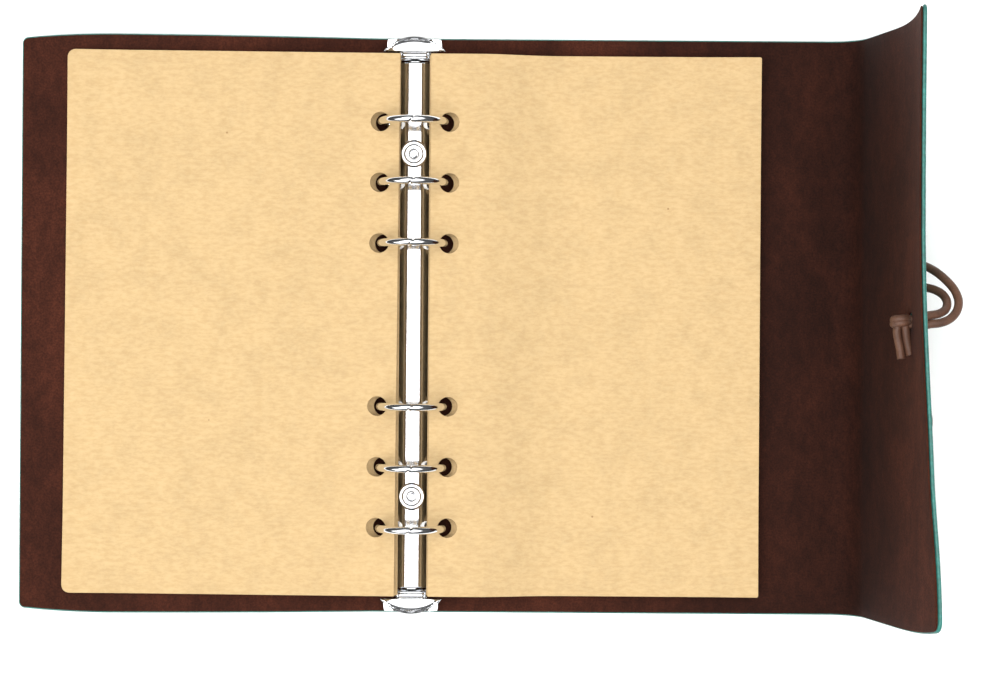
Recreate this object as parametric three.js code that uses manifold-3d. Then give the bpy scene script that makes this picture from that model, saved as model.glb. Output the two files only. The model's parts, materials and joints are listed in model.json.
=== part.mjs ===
// A six-ring scrapbook album with a soft wrap cover, lying open: two stacks of kraft sheets on a
// chromed ring mechanism, a cover of two bonded layers whose flap curls up, and a leather thong that
// is knotted through the flap. Millimetres, +Z up, the spine along Y.
// The origin is the centre of the spine's underside, and the cover opens to -X and +X.
import * as THREE from "three";
import { mergeVertices } from "three/addons/utils/BufferGeometryUtils.js";
import Module from "manifold-3d";

const wasm = await Module();
wasm.setup();

// ---- Driving dimensions ------------------------------------------------------------------------

// The cover: an outer skin and a lining, bonded, cut into panels at the folds.
const coverHeight = 182;
const skinThickness = 1.2;
const liningThickness = 0.5;
const bondGap = 0.1;
const coverThickness = skinThickness + bondGap + liningThickness;
const spineWidth = 26;
const frontWidth = 110;
const frontRise = 4;
const frontEdgeTaper = 1.5;
const backWidth = 118.5;
const gussetBendRadius = 11.7;
const gussetBendAngle = 77;
const gussetFlat = 19;
const flapLength = 38;
const flapCurl = 8;
const spineFoldGap = 0.8;
const gussetFoldGap = 0.8;
const flapFoldGap = 1.6;
const frontCornerRadius = 2;
const flapCornerRadius = 3;

// The ring mechanism: a sprung arched housing over two rails that carry the half rings.
const ringRadius = 9.9;
const wireRadius = 1.2;
const ringPitch = 19;
const middleGap = 51;
const ringJointGap = 0.3;
const seatGap = 0.3;
const housingWidth = 13;
const housingRise = 3.9;
const housingWall = 0.8;
const housingLeg = 0.5;
const housingLength = 166;
const railThickness = 0.55;
const railLength = 152;
const railCentreGap = 0.4;
const railSideGap = 0.5;
const postFlangeRadius = 4.4;
const postFlangeThickness = 0.7;
const postRadius = 1.8;
const postBore = 1.25;
const capRadius = 4.2;
const capThickness = 0.5;
const capStemRadius = 0.85;
const leverPinRadius = 0.5;
const leverPinInset = 2.5;
const leverPinRise = 1.3;
const leverEyeWall = 0.3;
const leverNeckWidth = 10.4;
const leverNeckLength = 3.2;
const leverWingWidth = 19.6;
const leverWingDepth = 4.7;
const leverWall = 1;
const leverTongueWidth = 3.6;
const leverTongueThickness = 1;
const clearance = 0.3;

// The sheets: kraft card, punched at the ring pitch.
const sheetWidth = 104;
const sheetHeight = 170;
const sheetThickness = 0.45;
const sheetPitch = 0.55;
const leftSheets = 8;
const rightSheets = 8;
const punchRadius = 3;
const punchMargin = 6;
const leftPunchSlack = 0.4;
const rightPunchSlack = 1.1;
const punchFan = 0.4;
const leafCornerRadius = 2.5;
const leafYaw = -0.3;
const sheetRest = 0.4;

// The thong: one strip of leather, doubled, both ends knotted inside the flap.
const thongRadius = 1.3;
const thongHoleFromTip = 18;
const thongHoleRadius = 2.4;
const thongHoleRow = 1.5;
const hankLength = 62;
const hankWidth = 18.6;
const hankHeight = 12;
const hankWaist = 5.8;
const keeperWidth = 5;
const keeperWall = 1;
const keeperSlack = 0.6;
const knotDepth = 6.2;
const tailLength = 7.9;
const tailWidth = 2.4;

// ---- Places worked out from the sizes ----------------------------------------------------------

const degrees = Math.PI / 180;
const coverTop = coverThickness;
const housingBase = coverTop + bondGap;
const ringCentre = housingBase + wireRadius + ringRadius - 1.1;
const housingCrown = housingBase + housingRise;
const railBase = housingBase + 0.05;
const railTop = railBase + railThickness;
const postSeat = housingCrown + bondGap;
const leverPinRow = housingLength / 2 - leverPinInset;
const leverPinHeight = housingBase + leverPinRise;
const railPivot = housingWidth / 2 - housingWall - railSideGap;
const ringLast = 152.5 * degrees;
const ringRows = [-1, 1].flatMap((side) =>
  [0, 1, 2].map((step) => side * (middleGap / 2 + step * ringPitch)),
);
ringRows.sort((a, b) => b - a);
const postRow = middleGap / 2 + 1.5 * ringPitch;

// ---- Helpers -----------------------------------------------------------------------------------

// A three.js geometry as a solid that can be cut and joined.
function solidOf(geometry) {
  const bare = geometry.clone();
  bare.deleteAttribute("normal");
  bare.deleteAttribute("uv");
  const merged = mergeVertices(bare, 1e-4);
  return new wasm.Manifold(
    new wasm.Mesh({
      numProp: 3,
      vertProperties: merged.attributes.position.array,
      triVerts: new Uint32Array(merged.index.array),
    }),
  );
}

// A solid back as a three.js geometry.
function geometryOf(solid) {
  const mesh = solid.getMesh();
  const geometry = new THREE.BufferGeometry();
  geometry.setAttribute("position", new THREE.BufferAttribute(mesh.vertProperties, 3));
  geometry.setIndex(new THREE.BufferAttribute(mesh.triVerts, 1));
  geometry.computeVertexNormals();
  return geometry;
}

const solidBox = (x0, x1, y0, y1, z0, z1) =>
  solidOf(
    new THREE.BoxGeometry(x1 - x0, y1 - y0, z1 - z0).translate(
      (x0 + x1) / 2,
      (y0 + y1) / 2,
      (z0 + z1) / 2,
    ),
  );

// An upright cylinder from z0 to z1.
const solidRod = (radius, x, y, z0, z1, sides = 16) =>
  solidOf(
    new THREE.CylinderGeometry(radius, radius, z1 - z0, sides)
      .rotateX(Math.PI / 2)
      .translate(x, y, (z0 + z1) / 2),
  );

// A cylinder that lies along X.
const solidAxle = (radius, x0, x1, y, z, sides = 16) =>
  solidOf(
    new THREE.CylinderGeometry(radius, radius, x1 - x0, sides)
      .rotateZ(Math.PI / 2)
      .translate((x0 + x1) / 2, y, z),
  );

// An outline in X and Z, drawn out along Y and centred on the XZ plane.
function alongY(outline, length) {
  const geometry = new THREE.ExtrudeGeometry(new THREE.Shape(outline), {
    depth: length,
    bevelEnabled: false,
  });
  return geometry.rotateX(Math.PI / 2).translate(0, length / 2, 0);
}

// A rectangle of half sizes a and b with its corners rounded.
function roundedOutline(x0, x1, y0, y1, radii) {
  const [r00, r10, r11, r01] = radii;
  const shape = new THREE.Shape();
  shape.moveTo(x0 + r00, y0);
  shape.lineTo(x1 - r10, y0);
  if (r10) shape.absarc(x1 - r10, y0 + r10, r10, -Math.PI / 2, 0, false);
  shape.lineTo(x1, y1 - r11);
  if (r11) shape.absarc(x1 - r11, y1 - r11, r11, 0, Math.PI / 2, false);
  shape.lineTo(x0 + r01, y1);
  if (r01) shape.absarc(x0 + r01, y1 - r01, r01, Math.PI / 2, Math.PI, false);
  shape.lineTo(x0, y0 + r00);
  if (r00) shape.absarc(x0 + r00, y0 + r00, r00, Math.PI, 1.5 * Math.PI, false);
  return shape;
}

// A tube along a curve, with flat ends.
function tube(curve, radius, steps, sides) {
  const section = new THREE.Shape(
    Array.from({ length: sides }, (_, i) => {
      const turn = (2 * Math.PI * (i + 0.5)) / sides;
      return new THREE.Vector2(radius * Math.cos(turn), radius * Math.sin(turn));
    }),
  );
  return new THREE.ExtrudeGeometry(section, { steps, extrudePath: curve, bevelEnabled: false });
}

// ---- The line of the cover ---------------------------------------------------------------------

// Walks the cover's outer face in the XZ plane: a stretch is a length and the angle it turns through.
// Each stop has its place and its heading, and "inward" is to the left of the heading.
class CoverLine {
  constructor(x, z, heading) {
    this.stops = [{ x, z, heading }];
  }
  end() {
    return this.stops[this.stops.length - 1];
  }
  walk(length, turn = 0, steps = 1) {
    const step = length / steps;
    const bend = (turn * degrees) / steps;
    for (let i = 0; i < steps; i++) {
      const from = this.end();
      const chord = bend ? (2 * Math.sin(bend / 2) * step) / bend : step;
      const heading = from.heading + bend / 2;
      this.stops.push({
        x: from.x + chord * Math.cos(heading),
        z: from.z + chord * Math.sin(heading),
        heading: from.heading + bend,
      });
    }
    return this;
  }
  offset(distance) {
    return this.stops.map(
      ({ x, z, heading }) =>
        new THREE.Vector2(x - distance * Math.sin(heading), z + distance * Math.cos(heading)),
    );
  }
  // The outline between two distances inward of the outer face.
  band(near, far) {
    return [...this.offset(near), ...this.offset(far).reverse()];
  }
}

const mirrored = (outline) => outline.map((p) => new THREE.Vector2(-p.x, p.y));

const half = spineWidth / 2;
const frontRadius = frontWidth ** 2 / (8 * frontRise) + frontRise / 2;
const frontSwing = (2 * Math.asin(frontWidth / 2 / frontRadius)) / degrees;
const frontLine = new CoverLine(half, 0, (frontSwing / 2) * degrees);
frontLine.stops[0].x += (spineFoldGap / 2) * Math.cos((frontSwing / 2) * degrees);
frontLine.stops[0].z += (spineFoldGap / 2) * Math.sin((frontSwing / 2) * degrees);
frontLine.walk(frontRadius * frontSwing * degrees - spineFoldGap / 2, -frontSwing, 8);

const backLine = new CoverLine(half + spineFoldGap / 2, 0, 0);
backLine.walk(backWidth - spineFoldGap / 2 - gussetFoldGap / 2);

const gussetBend = gussetBendRadius * gussetBendAngle * degrees;
const gussetLine = new CoverLine(half + backWidth, 0, 0);
gussetLine.stops[0].x += gussetFoldGap / 2;
gussetLine.walk(gussetBend, gussetBendAngle, 8);
gussetLine.walk(gussetFlat - flapFoldGap / 2);

const flapFold = new CoverLine(gussetLine.end().x, gussetLine.end().z, gussetLine.end().heading);
flapFold.walk(flapFoldGap / 2);
const flapLine = new CoverLine(flapFold.end().x, flapFold.end().z, flapFold.end().heading);
flapLine.walk(flapFoldGap / 2);
flapLine.stops.shift();
flapLine.walk(flapLength - flapFoldGap / 2, flapCurl, 5);
const flapTip = flapLine.end();

// A place on the flap, measured back from its tip and inward from its outer face.
function onFlap(fromTip, inward) {
  const stops = flapLine.stops;
  const step = (flapLength - flapFoldGap / 2) / (stops.length - 1);
  const at = stops.length - 1 - fromTip / step;
  const a = stops[Math.floor(at)];
  const b = stops[Math.floor(at) + 1];
  const share = at - Math.floor(at);
  const heading = a.heading + (b.heading - a.heading) * share;
  return {
    x: a.x + (b.x - a.x) * share - inward * Math.sin(heading),
    z: a.z + (b.z - a.z) * share + inward * Math.cos(heading),
    heading,
  };
}

// ---- The cover's pieces ------------------------------------------------------------------------

const layers = {
  outer: [0, skinThickness],
  lining: [skinThickness + bondGap, coverThickness],
};

// The spine strip, with the holes for the posts, and recesses for the caps in the outer skin.
function spinePiece(layer) {
  const [near, far] = layers[layer];
  const x = half - spineFoldGap / 2;
  let solid = solidBox(-x, x, -coverHeight / 2, coverHeight / 2, near, far);
  for (const y of [postRow, -postRow]) {
    solid = solid.subtract(solidRod(postRadius + clearance, 0, y, -1, far + 1));
    if (layer === "outer")
      solid = solid.subtract(
        solidRod(capRadius + clearance, 0, y, -1, capThickness + bondGap, 24),
      );
  }
  return geometryOf(solid);
}

// The front panel: a shallow arch, its free edge a little shorter than its middle.
function frontPiece(layer) {
  const arch = solidOf(alongY(mirrored(frontLine.band(...layers[layer])), coverHeight));
  const reach = half + frontWidth;
  const edge = coverHeight / 2;
  const outline = new THREE.Shape();
  outline.moveTo(0, -edge);
  outline.lineTo(0, edge);
  outline.lineTo(-reach + 30, edge);
  outline.quadraticCurveTo(
    -reach + frontCornerRadius + 8,
    edge,
    -reach + frontCornerRadius,
    edge - frontEdgeTaper,
  );
  outline.lineTo(-reach, edge - frontEdgeTaper - frontCornerRadius);
  outline.lineTo(-reach, -edge + frontEdgeTaper + frontCornerRadius);
  outline.lineTo(-reach + frontCornerRadius, -edge + frontEdgeTaper);
  outline.quadraticCurveTo(-reach + frontCornerRadius + 8, -edge, -reach + 30, -edge);
  const cutter = solidOf(
    new THREE.ExtrudeGeometry(outline, {
      depth: frontRise + coverThickness + 4,
      bevelEnabled: false,
      curveSegments: 3,
    }).translate(0, 0, -2),
  );
  return geometryOf(arch.intersect(cutter));
}

const backPiece = (layer) => alongY(backLine.band(...layers[layer]), coverHeight);

const gussetPiece = (layer) => alongY(gussetLine.band(...layers[layer]), coverHeight);

// The flap, with rounded free corners and the punched hole for the thong.
function flapPiece(layer) {
  const sheet = solidOf(alongY(flapLine.band(...layers[layer]), coverHeight));
  const edge = coverHeight / 2;
  const r = flapCornerRadius;
  const outline = roundedOutline(0, flapTip.z + 2, -edge, edge, [0, 0, 0, 0]);
  const top = flapTip.z + 0.5;
  const corner = roundedOutline(0, top, -edge, edge, [0, r, r, 0]);
  const cutter = solidOf(
    new THREE.ExtrudeGeometry(corner, { depth: 400, bevelEnabled: false, curveSegments: 4 })
      .rotateY(-Math.PI / 2)
      .translate(400, 0, 0),
  );
  const hole = onFlap(thongHoleFromTip, 0);
  return geometryOf(
    sheet
      .intersect(cutter)
      .subtract(
        solidAxle(thongHoleRadius, hole.x - 10, hole.x + 10, thongHoleRow, hole.z, 12),
      ),
  );
}

// ---- The ring mechanism ------------------------------------------------------------------------

// The arched housing, notched for the wires and drilled for the posts and the lever pins.
function housing() {
  const side = housingWidth / 2;
  const rise = housingRise - housingLeg;
  const radius = (side ** 2 + rise ** 2) / (2 * rise);
  const centre = housingCrown - radius;
  const arc = (r, x, steps) => {
    const reach = Math.asin(x / r);
    return Array.from({ length: steps + 1 }, (_, i) => {
      const turn = reach - (2 * reach * i) / steps;
      return new THREE.Vector2(r * Math.sin(turn), centre + r * Math.cos(turn));
    });
  };
  const outline = [
    new THREE.Vector2(side, housingBase),
    ...arc(radius, side, 10),
    new THREE.Vector2(-side, housingBase),
    new THREE.Vector2(-side + housingWall, housingBase),
    ...arc(radius - housingWall, side - housingWall, 10).reverse(),
    new THREE.Vector2(side - housingWall, housingBase),
  ];
  let solid = solidOf(alongY(outline, housingLength));
  const notch = ringRadius * Math.sin(ringLast) - wireRadius - clearance - 0.3;
  const slot = wireRadius + 0.4;
  for (const y of ringRows) {
    solid = solid.subtract(solidBox(notch, side + 1, y - slot, y + slot, housingBase - 1, 9));
    solid = solid.subtract(solidBox(-side - 1, -notch, y - slot, y + slot, housingBase - 1, 9));
  }
  for (const end of [1, -1]) {
    solid = solid.subtract(solidRod(postRadius + clearance, 0, end * postRow, 0, 9));
    solid = solid.subtract(
      solidAxle(leverPinRadius + clearance, -side - 1, side + 1, end * leverPinRow, leverPinHeight),
    );
  }
  return geometryOf(solid);
}

// A rail: a steel strip under the housing, cut away round the posts.
function rail(side) {
  const inner = railCentreGap / 2;
  const x = [side * inner, side * railPivot].sort((a, b) => a - b);
  let solid = solidBox(x[0], x[1], -railLength / 2, railLength / 2, railBase, railTop);
  for (const y of [postRow, -postRow])
    solid = solid.subtract(solidRod(postRadius + 2 * clearance, 0, y, 0, 9));
  return geometryOf(solid);
}

// A half ring, from the joint at the top of the ring to its seat on the rail.
function halfRing(side, y) {
  const first = Math.asin(ringJointGap / 2 / ringRadius);
  const last = ringLast;
  class Wire extends THREE.Curve {
    getPoint(t, target = new THREE.Vector3()) {
      const turn = first + (last - first) * t;
      return target.set(
        side * ringRadius * Math.sin(turn),
        y,
        ringCentre + ringRadius * Math.cos(turn),
      );
    }
  }
  const wire = solidOf(tube(new Wire(), wireRadius, 12, 8));
  return geometryOf(
    wire.subtract(solidBox(-20, 20, y - 5, y + 5, -5, railTop + seatGap)),
  );
}

// A hollow post: its flange sits on the housing and its shank passes through the spine.
function post(y) {
  const outline = [
    [postBore, skinThickness - 0.2],
    [postRadius, skinThickness - 0.2],
    [postRadius, postSeat],
    [postFlangeRadius, postSeat],
    [postFlangeRadius, postSeat + postFlangeThickness * 0.5],
    [postFlangeRadius - 0.5, postSeat + postFlangeThickness],
    [postBore + 0.4, postSeat + postFlangeThickness],
    [postBore, postSeat + postFlangeThickness - 0.3],
    [postBore, skinThickness - 0.2],
  ].map(([r, z]) => new THREE.Vector2(r, z));
  return new THREE.LatheGeometry(outline, 20).rotateX(Math.PI / 2).translate(0, y, 0);
}

// The cap that is driven up into the post from the spine's outer side.
function cap(y) {
  const base = 0.05;
  const outline = [
    [0, base],
    [capRadius, base],
    [capRadius, base + capThickness],
    [capStemRadius, base + capThickness],
    [capStemRadius, housingCrown - 0.6],
    [0, housingCrown - 0.6],
  ].map(([r, z]) => new THREE.Vector2(r, z));
  return new THREE.LatheGeometry(outline, 20).rotateX(Math.PI / 2).translate(0, y, 0);
}

// A lever: a tongue under the housing, a neck at its end and a boat-shaped wing for the thumb.
function lever(end) {
  const mouth = housingLength / 2;
  const neckStart = mouth + clearance;
  const neckEnd = mouth + leverNeckLength;
  const wingBase = housingBase + 2.5;
  const slab = (x, y0, y1, z0, z1) =>
    solidBox(-x, x, Math.min(end * y0, end * y1), Math.max(end * y0, end * y1), z0, z1);
  const halfTongue = leverTongueWidth / 2;
  const bore = leverPinRadius + clearance;
  const tongueTop = leverPinHeight + leverTongueThickness / 2;
  const tongue = slab(
    halfTongue,
    railLength / 2 + 1,
    leverPinRow,
    tongueTop - leverTongueThickness,
    tongueTop,
  );
  const arm = slab(halfTongue, leverPinRow, neckEnd, leverPinHeight - 0.3, leverPinHeight + 0.9);
  const eye = solidAxle(
    bore + leverEyeWall,
    -halfTongue,
    halfTongue,
    end * leverPinRow,
    leverPinHeight,
  );
  const neck = slab(leverNeckWidth / 2, neckStart, neckEnd + 0.4, wingBase - 1.1, wingBase + 0.9);
  const chord = leverWingWidth / 2;
  const radius = (chord ** 2 + leverWingDepth ** 2) / (2 * leverWingDepth);
  const reach = Math.asin(chord / radius);
  const outline = Array.from({ length: 15 }, (_, i) => {
    const turn = reach - (2 * reach * i) / 14;
    return new THREE.Vector2(
      radius * Math.sin(turn),
      neckEnd + leverWingDepth - radius + radius * Math.cos(turn),
    );
  });
  const wing = new THREE.ExtrudeGeometry(new THREE.Shape(outline), {
    depth: leverWall,
    bevelEnabled: false,
  }).translate(0, 0, wingBase);
  if (end < 0) wing.rotateZ(Math.PI);
  return geometryOf(
    tongue
      .add(arm)
      .add(eye)
      .add(neck)
      .add(solidOf(wing))
      .subtract(solidAxle(bore, -9, 9, end * leverPinRow, leverPinHeight)),
  );
}

const leverPin = (end) =>
  new THREE.CylinderGeometry(leverPinRadius, leverPinRadius, housingWidth - 1.6, 12)
    .rotateZ(Math.PI / 2)
    .translate(0, end * leverPinRow, leverPinHeight);

// ---- The sheets --------------------------------------------------------------------------------

const sheetFloor = postSeat + postFlangeThickness + bondGap;
const sheetDrop = sheetFloor - coverTop - sheetRest;

// How far out the ring is at a height, and so where a sheet's punched holes lie. The lowest sheets
// lie closest to the wire, because it slants there.
const ringReach = (z) => Math.sqrt(ringRadius ** 2 - (z - ringCentre) ** 2);
const punchPlace = (z, slack, share) => ringReach(z) + slack + punchFan * share;

// A flat sheet with its punched holes, drawn in plan.
function flatSheet(z, inner, cornerRadius) {
  const r = cornerRadius;
  const edge = sheetHeight / 2;
  const outline = roundedOutline(-inner - sheetWidth, -inner, -edge, edge, [r, 0, 0, r]);
  for (const y of ringRows) {
    const hole = new THREE.Path();
    hole.absarc(-inner - punchMargin, y, punchRadius, 0, 2 * Math.PI, true);
    outline.holes.push(hole);
  }
  return new THREE.ExtrudeGeometry(outline, {
    depth: sheetThickness,
    bevelEnabled: false,
    curveSegments: 6,
  }).translate(0, 0, z);
}

// A sheet that lies flat on the cover and rises over the housing to the rings.
function risingSheet(z, inner) {
  const near = 20;
  const far = 46;
  const steps = 5;
  const line = [new THREE.Vector2(inner, z)];
  for (let i = 0; i <= steps; i++) {
    const t = i / steps;
    line.push(
      new THREE.Vector2(near + (far - near) * t, z - sheetDrop * t * t * (3 - 2 * t)),
    );
  }
  line.push(new THREE.Vector2(inner + sheetWidth, z - sheetDrop));
  const upper = line.map((p) => new THREE.Vector2(p.x, p.y + sheetThickness)).reverse();
  let solid = solidOf(alongY([...line, ...upper], sheetHeight));
  for (const y of ringRows)
    solid = solid.subtract(solidRod(punchRadius, inner + punchMargin, y, 0, 20, 12));
  return geometryOf(solid);
}

// ---- The thong ---------------------------------------------------------------------------------

// The route of the thong's two strands, from the hole in the flap, out in a loop, down behind the flap
// and into the end of the hank. Each point is measured from the hole.
const hole = onFlap(thongHoleFromTip, 0);
const strandFloor = thongRadius + 0.15 - hole.z;
const hankShift = 2.8;
const hankEnd = -20;
const hankLane = hankWidth / 2 - thongRadius;
const hankTopLayer = 6.1 * thongRadius;
const strandA = [
  [0.8, -1.35, 0],
  [3.2, -0.6, -0.1],
  [6.5, -0.2, -0.6],
  [9.6, 1, -1.8],
  [12, 3.4, -3.6],
  [13, 6.4, -5.8],
  [12.4, 9.6, -8.4],
  [10.6, 12.6, -11.4],
  [8.2, 15.4, -15.4],
  [6, 17.4, -21],
  [5, 18.2, -28],
  [5.6, 17.4, strandFloor + 8.5],
  [7.4, 14.2, strandFloor + 2.6],
  [8.9, 8, strandFloor + 0.2],
  [9.6, 0, strandFloor],
  [hankShift + hankLane - 0.4, -10, strandFloor],
  [hankShift + hankLane, -17, strandFloor],
  [hankShift + hankLane, hankEnd - thongHoleRow - 2.6, strandFloor],
];
const strandB = [
  [0.8, 1.35, 0],
  [3.2, 2, -0.7],
  [6.2, 2.5, -2],
  [8.7, 3.8, -4.2],
  [9.8, 6, -6.9],
  [9.3, 8.2, -9.7],
  [7.6, 9.8, -12.8],
  [5.4, 10.7, -17],
  [3.6, 10.6, -22.5],
  [2, 8.4, -28],
  [0.4, 3.4, -32.5],
  [-1.2, -3.6, -35.6],
  [-3.2, -12, strandFloor + hankTopLayer + 0.5],
  [hankShift - hankLane, -18.6, strandFloor + hankTopLayer],
  [hankShift - hankLane, hankEnd - thongHoleRow - 2.6, strandFloor + hankTopLayer],
];
const hankCentre = {
  x: hole.x + hankShift,
  y: hankEnd - hankLength / 2,
  z: hankHeight / 2 + 0.1,
};

function strand(points) {
  const curve = new THREE.CatmullRomCurve3(
    points.map(([x, y, z]) => new THREE.Vector3(hole.x + x, thongHoleRow + y, hole.z + z)),
    false,
    "centripetal",
  );
  return tube(curve, thongRadius, 34, 8);
}

// The hank's outer shape, lying along the flap's foot: two round ends, and a waist where it is tied.
function hank() {
  const r = hankWidth / 2;
  const lobe = hankLength / 2 - r;
  const waist = hankWaist / 2;
  const bend = lobe * 0.38;
  const outline = new THREE.Shape();
  outline.moveTo(r, lobe);
  outline.absarc(0, lobe, r, 0, Math.PI, false);
  outline.bezierCurveTo(-r, lobe - bend, -waist, bend, -waist, 0);
  outline.bezierCurveTo(-waist, -bend, -r, -lobe + bend, -r, -lobe);
  outline.absarc(0, -lobe, r, Math.PI, 2 * Math.PI, false);
  outline.bezierCurveTo(r, -lobe + bend, waist, -bend, waist, 0);
  outline.bezierCurveTo(waist, bend, r, lobe - bend, r, lobe);
  return new THREE.ExtrudeGeometry(outline, {
    depth: hankHeight,
    bevelEnabled: false,
    curveSegments: 6,
  }).translate(hankCentre.x, hankCentre.y, hankCentre.z - hankHeight / 2);
}

// The keeper: a band of the same leather round the waist of the hank.
function keeper() {
  const a = hankWaist / 2 + keeperSlack;
  const low = 0.02;
  const top = hankCentre.z + hankHeight / 2 + clearance;
  const y0 = hankCentre.y - keeperWidth / 2;
  const y1 = hankCentre.y + keeperWidth / 2;
  const x = hankCentre.x;
  return geometryOf(
    solidBox(x - a - keeperWall, x + a + keeperWall, y0, y1, low, top + keeperWall).subtract(
      solidBox(x - a, x + a, y0 - 1, y1 + 1, -1, top),
    ),
  );
}

// The overhand knot inside the flap, with its short neck through the hole.
const knotSeat = onFlap(thongHoleFromTip, coverThickness + clearance);
const knotReach = knotDepth / 2;
const knotHalfLength = 2.2;
function knot() {
  const body = new THREE.SphereGeometry(1, 10, 8).scale(knotReach, knotHalfLength, 2.6);
  body.translate(knotSeat.x - knotReach - 0.2, thongHoleRow, knotSeat.z);
  const neck = solidAxle(
    thongHoleRadius - clearance,
    knotSeat.x - knotReach,
    hole.x + clearance,
    thongHoleRow,
    hole.z,
    12,
  );
  return geometryOf(solidOf(body).add(neck));
}

// One of the thong's two cut ends, side by side below the knot: 0 is the one next to the flap.
function cutEnd(place) {
  const x1 = knotSeat.x - 0.4 - place * (tailWidth + 0.2);
  const y1 = thongHoleRow - knotHalfLength - clearance;
  const half = tailWidth / 2;
  return new THREE.BoxGeometry(tailWidth, tailLength, tailWidth).translate(
    x1 - half,
    y1 - tailLength / 2,
    knotSeat.z,
  );
}

// ---- The materials -----------------------------------------------------------------------------

const material = (color, roughness, metalness = 0) =>
  new THREE.MeshStandardMaterial({ color, roughness, metalness });
const finishes = {
  skin: material(0x2f7f78, 0.6),
  lining: material(0x4e281e, 0.85),
  chrome: material(0xd8d8da, 0.12, 1),
  steel: material(0xa8aaae, 0.35, 1),
  kraft: material(0xd9a766, 0.9),
  thong: material(0x6b3a28, 0.8),
};

// ---- The assembly ------------------------------------------------------------------------------

const album = new THREE.Group();

function add(name, finish, geometry, parent = album) {
  const mesh = new THREE.Mesh(geometry, finishes[finish]);
  mesh.name = name;
  parent.add(mesh);
  return mesh;
}

for (const layer of ["outer", "lining"]) {
  const finish = layer === "outer" ? "skin" : "lining";
  add(`spine_${layer}`, finish, spinePiece(layer));
  add(`front_cover_${layer}`, finish, frontPiece(layer));
  add(`back_cover_${layer}`, finish, backPiece(layer));
  add(`gusset_${layer}`, finish, gussetPiece(layer));
  add(`flap_${layer}`, finish, flapPiece(layer));
}

add("ring_housing", "chrome", housing());
for (const [word, side] of [["left", -1], ["right", 1]]) {
  add(`rail_${word}`, "steel", rail(side));
  ringRows.forEach((y, i) => add(`half_ring_${word}_${i + 1}`, "chrome", halfRing(side, y)));
}
for (const [word, end] of [["top", 1], ["bottom", -1]]) {
  add(`post_${word}`, "chrome", post(end * postRow));
  add(`post_cap_${word}`, "chrome", cap(end * postRow));
  add(`lever_${word}`, "chrome", lever(end));
  add(`lever_pin_${word}`, "steel", leverPin(end));
}

const sheetBase = (i) => sheetFloor + i * sheetPitch;
for (let i = 0; i < leftSheets; i++) {
  const z = sheetBase(i);
  const share = i / (leftSheets - 1);
  const inner = punchPlace(z + sheetThickness / 2, leftPunchSlack, share) - punchMargin;
  const turning = i === leftSheets - 1;
  const sheet = flatSheet(z, inner, leafCornerRadius);
  const leaf = add(turning ? "turning_leaf" : `left_sheet_${i + 1}`, "kraft", sheet);
  leaf.rotation.z = leafYaw * degrees * share;
}
for (let i = 0; i < rightSheets; i++) {
  const z = sheetBase(i);
  const share = i / (rightSheets - 1);
  const inner = punchPlace(z + sheetThickness / 2, rightPunchSlack, share) - punchMargin;
  add(`right_sheet_${i + 1}`, "kraft", risingSheet(z, inner));
}

add("thong_strand_a", "thong", strand(strandA));
add("thong_strand_b", "thong", strand(strandB));
add("thong_hank", "thong", hank());
add("thong_keeper", "thong", keeper());
add("thong_knot", "thong", knot());
add("thong_end_a", "thong", cutEnd(0));
add("thong_end_b", "thong", cutEnd(1));

export default album;
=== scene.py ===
"""Builds the looks of a six-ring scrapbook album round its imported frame.

Lengths are in metres, +Z is up and the spine lies along Y, as in the frame.
"""

import json
import math

import bmesh
import bpy
from bpy.props import FloatProperty, FloatVectorProperty, IntProperty, PointerProperty
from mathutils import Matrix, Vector, noise
from mathutils.geometry import delaunay_2d_cdt
from mathutils.kdtree import KDTree


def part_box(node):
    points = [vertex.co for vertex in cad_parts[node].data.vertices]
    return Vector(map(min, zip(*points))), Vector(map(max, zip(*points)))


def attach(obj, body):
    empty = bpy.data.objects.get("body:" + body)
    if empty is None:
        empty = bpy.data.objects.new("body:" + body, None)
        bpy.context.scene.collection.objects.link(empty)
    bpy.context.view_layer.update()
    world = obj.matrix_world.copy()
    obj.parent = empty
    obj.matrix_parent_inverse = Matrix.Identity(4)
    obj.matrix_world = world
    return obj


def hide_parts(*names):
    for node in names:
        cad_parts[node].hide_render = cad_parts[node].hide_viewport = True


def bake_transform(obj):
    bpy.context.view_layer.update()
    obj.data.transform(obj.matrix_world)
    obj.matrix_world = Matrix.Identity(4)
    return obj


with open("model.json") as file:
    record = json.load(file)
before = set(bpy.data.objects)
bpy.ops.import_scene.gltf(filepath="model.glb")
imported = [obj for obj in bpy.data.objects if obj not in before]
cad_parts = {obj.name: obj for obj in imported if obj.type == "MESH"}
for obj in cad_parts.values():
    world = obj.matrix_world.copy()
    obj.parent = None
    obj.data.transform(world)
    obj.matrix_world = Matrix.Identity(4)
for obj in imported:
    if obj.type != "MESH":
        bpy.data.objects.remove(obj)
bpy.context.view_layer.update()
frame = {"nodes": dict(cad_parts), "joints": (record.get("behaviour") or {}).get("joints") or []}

bl_info = {
    "name": "Ring scrapbook album", "version": (1, 0, 0), "blender": (4, 5, 0),
    "location": "3D View > Sidebar > Album",
    "description": "Builds the leather cover, the ring mechanism, the card sheets and the lace",
    "category": "Object",
}

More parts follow.
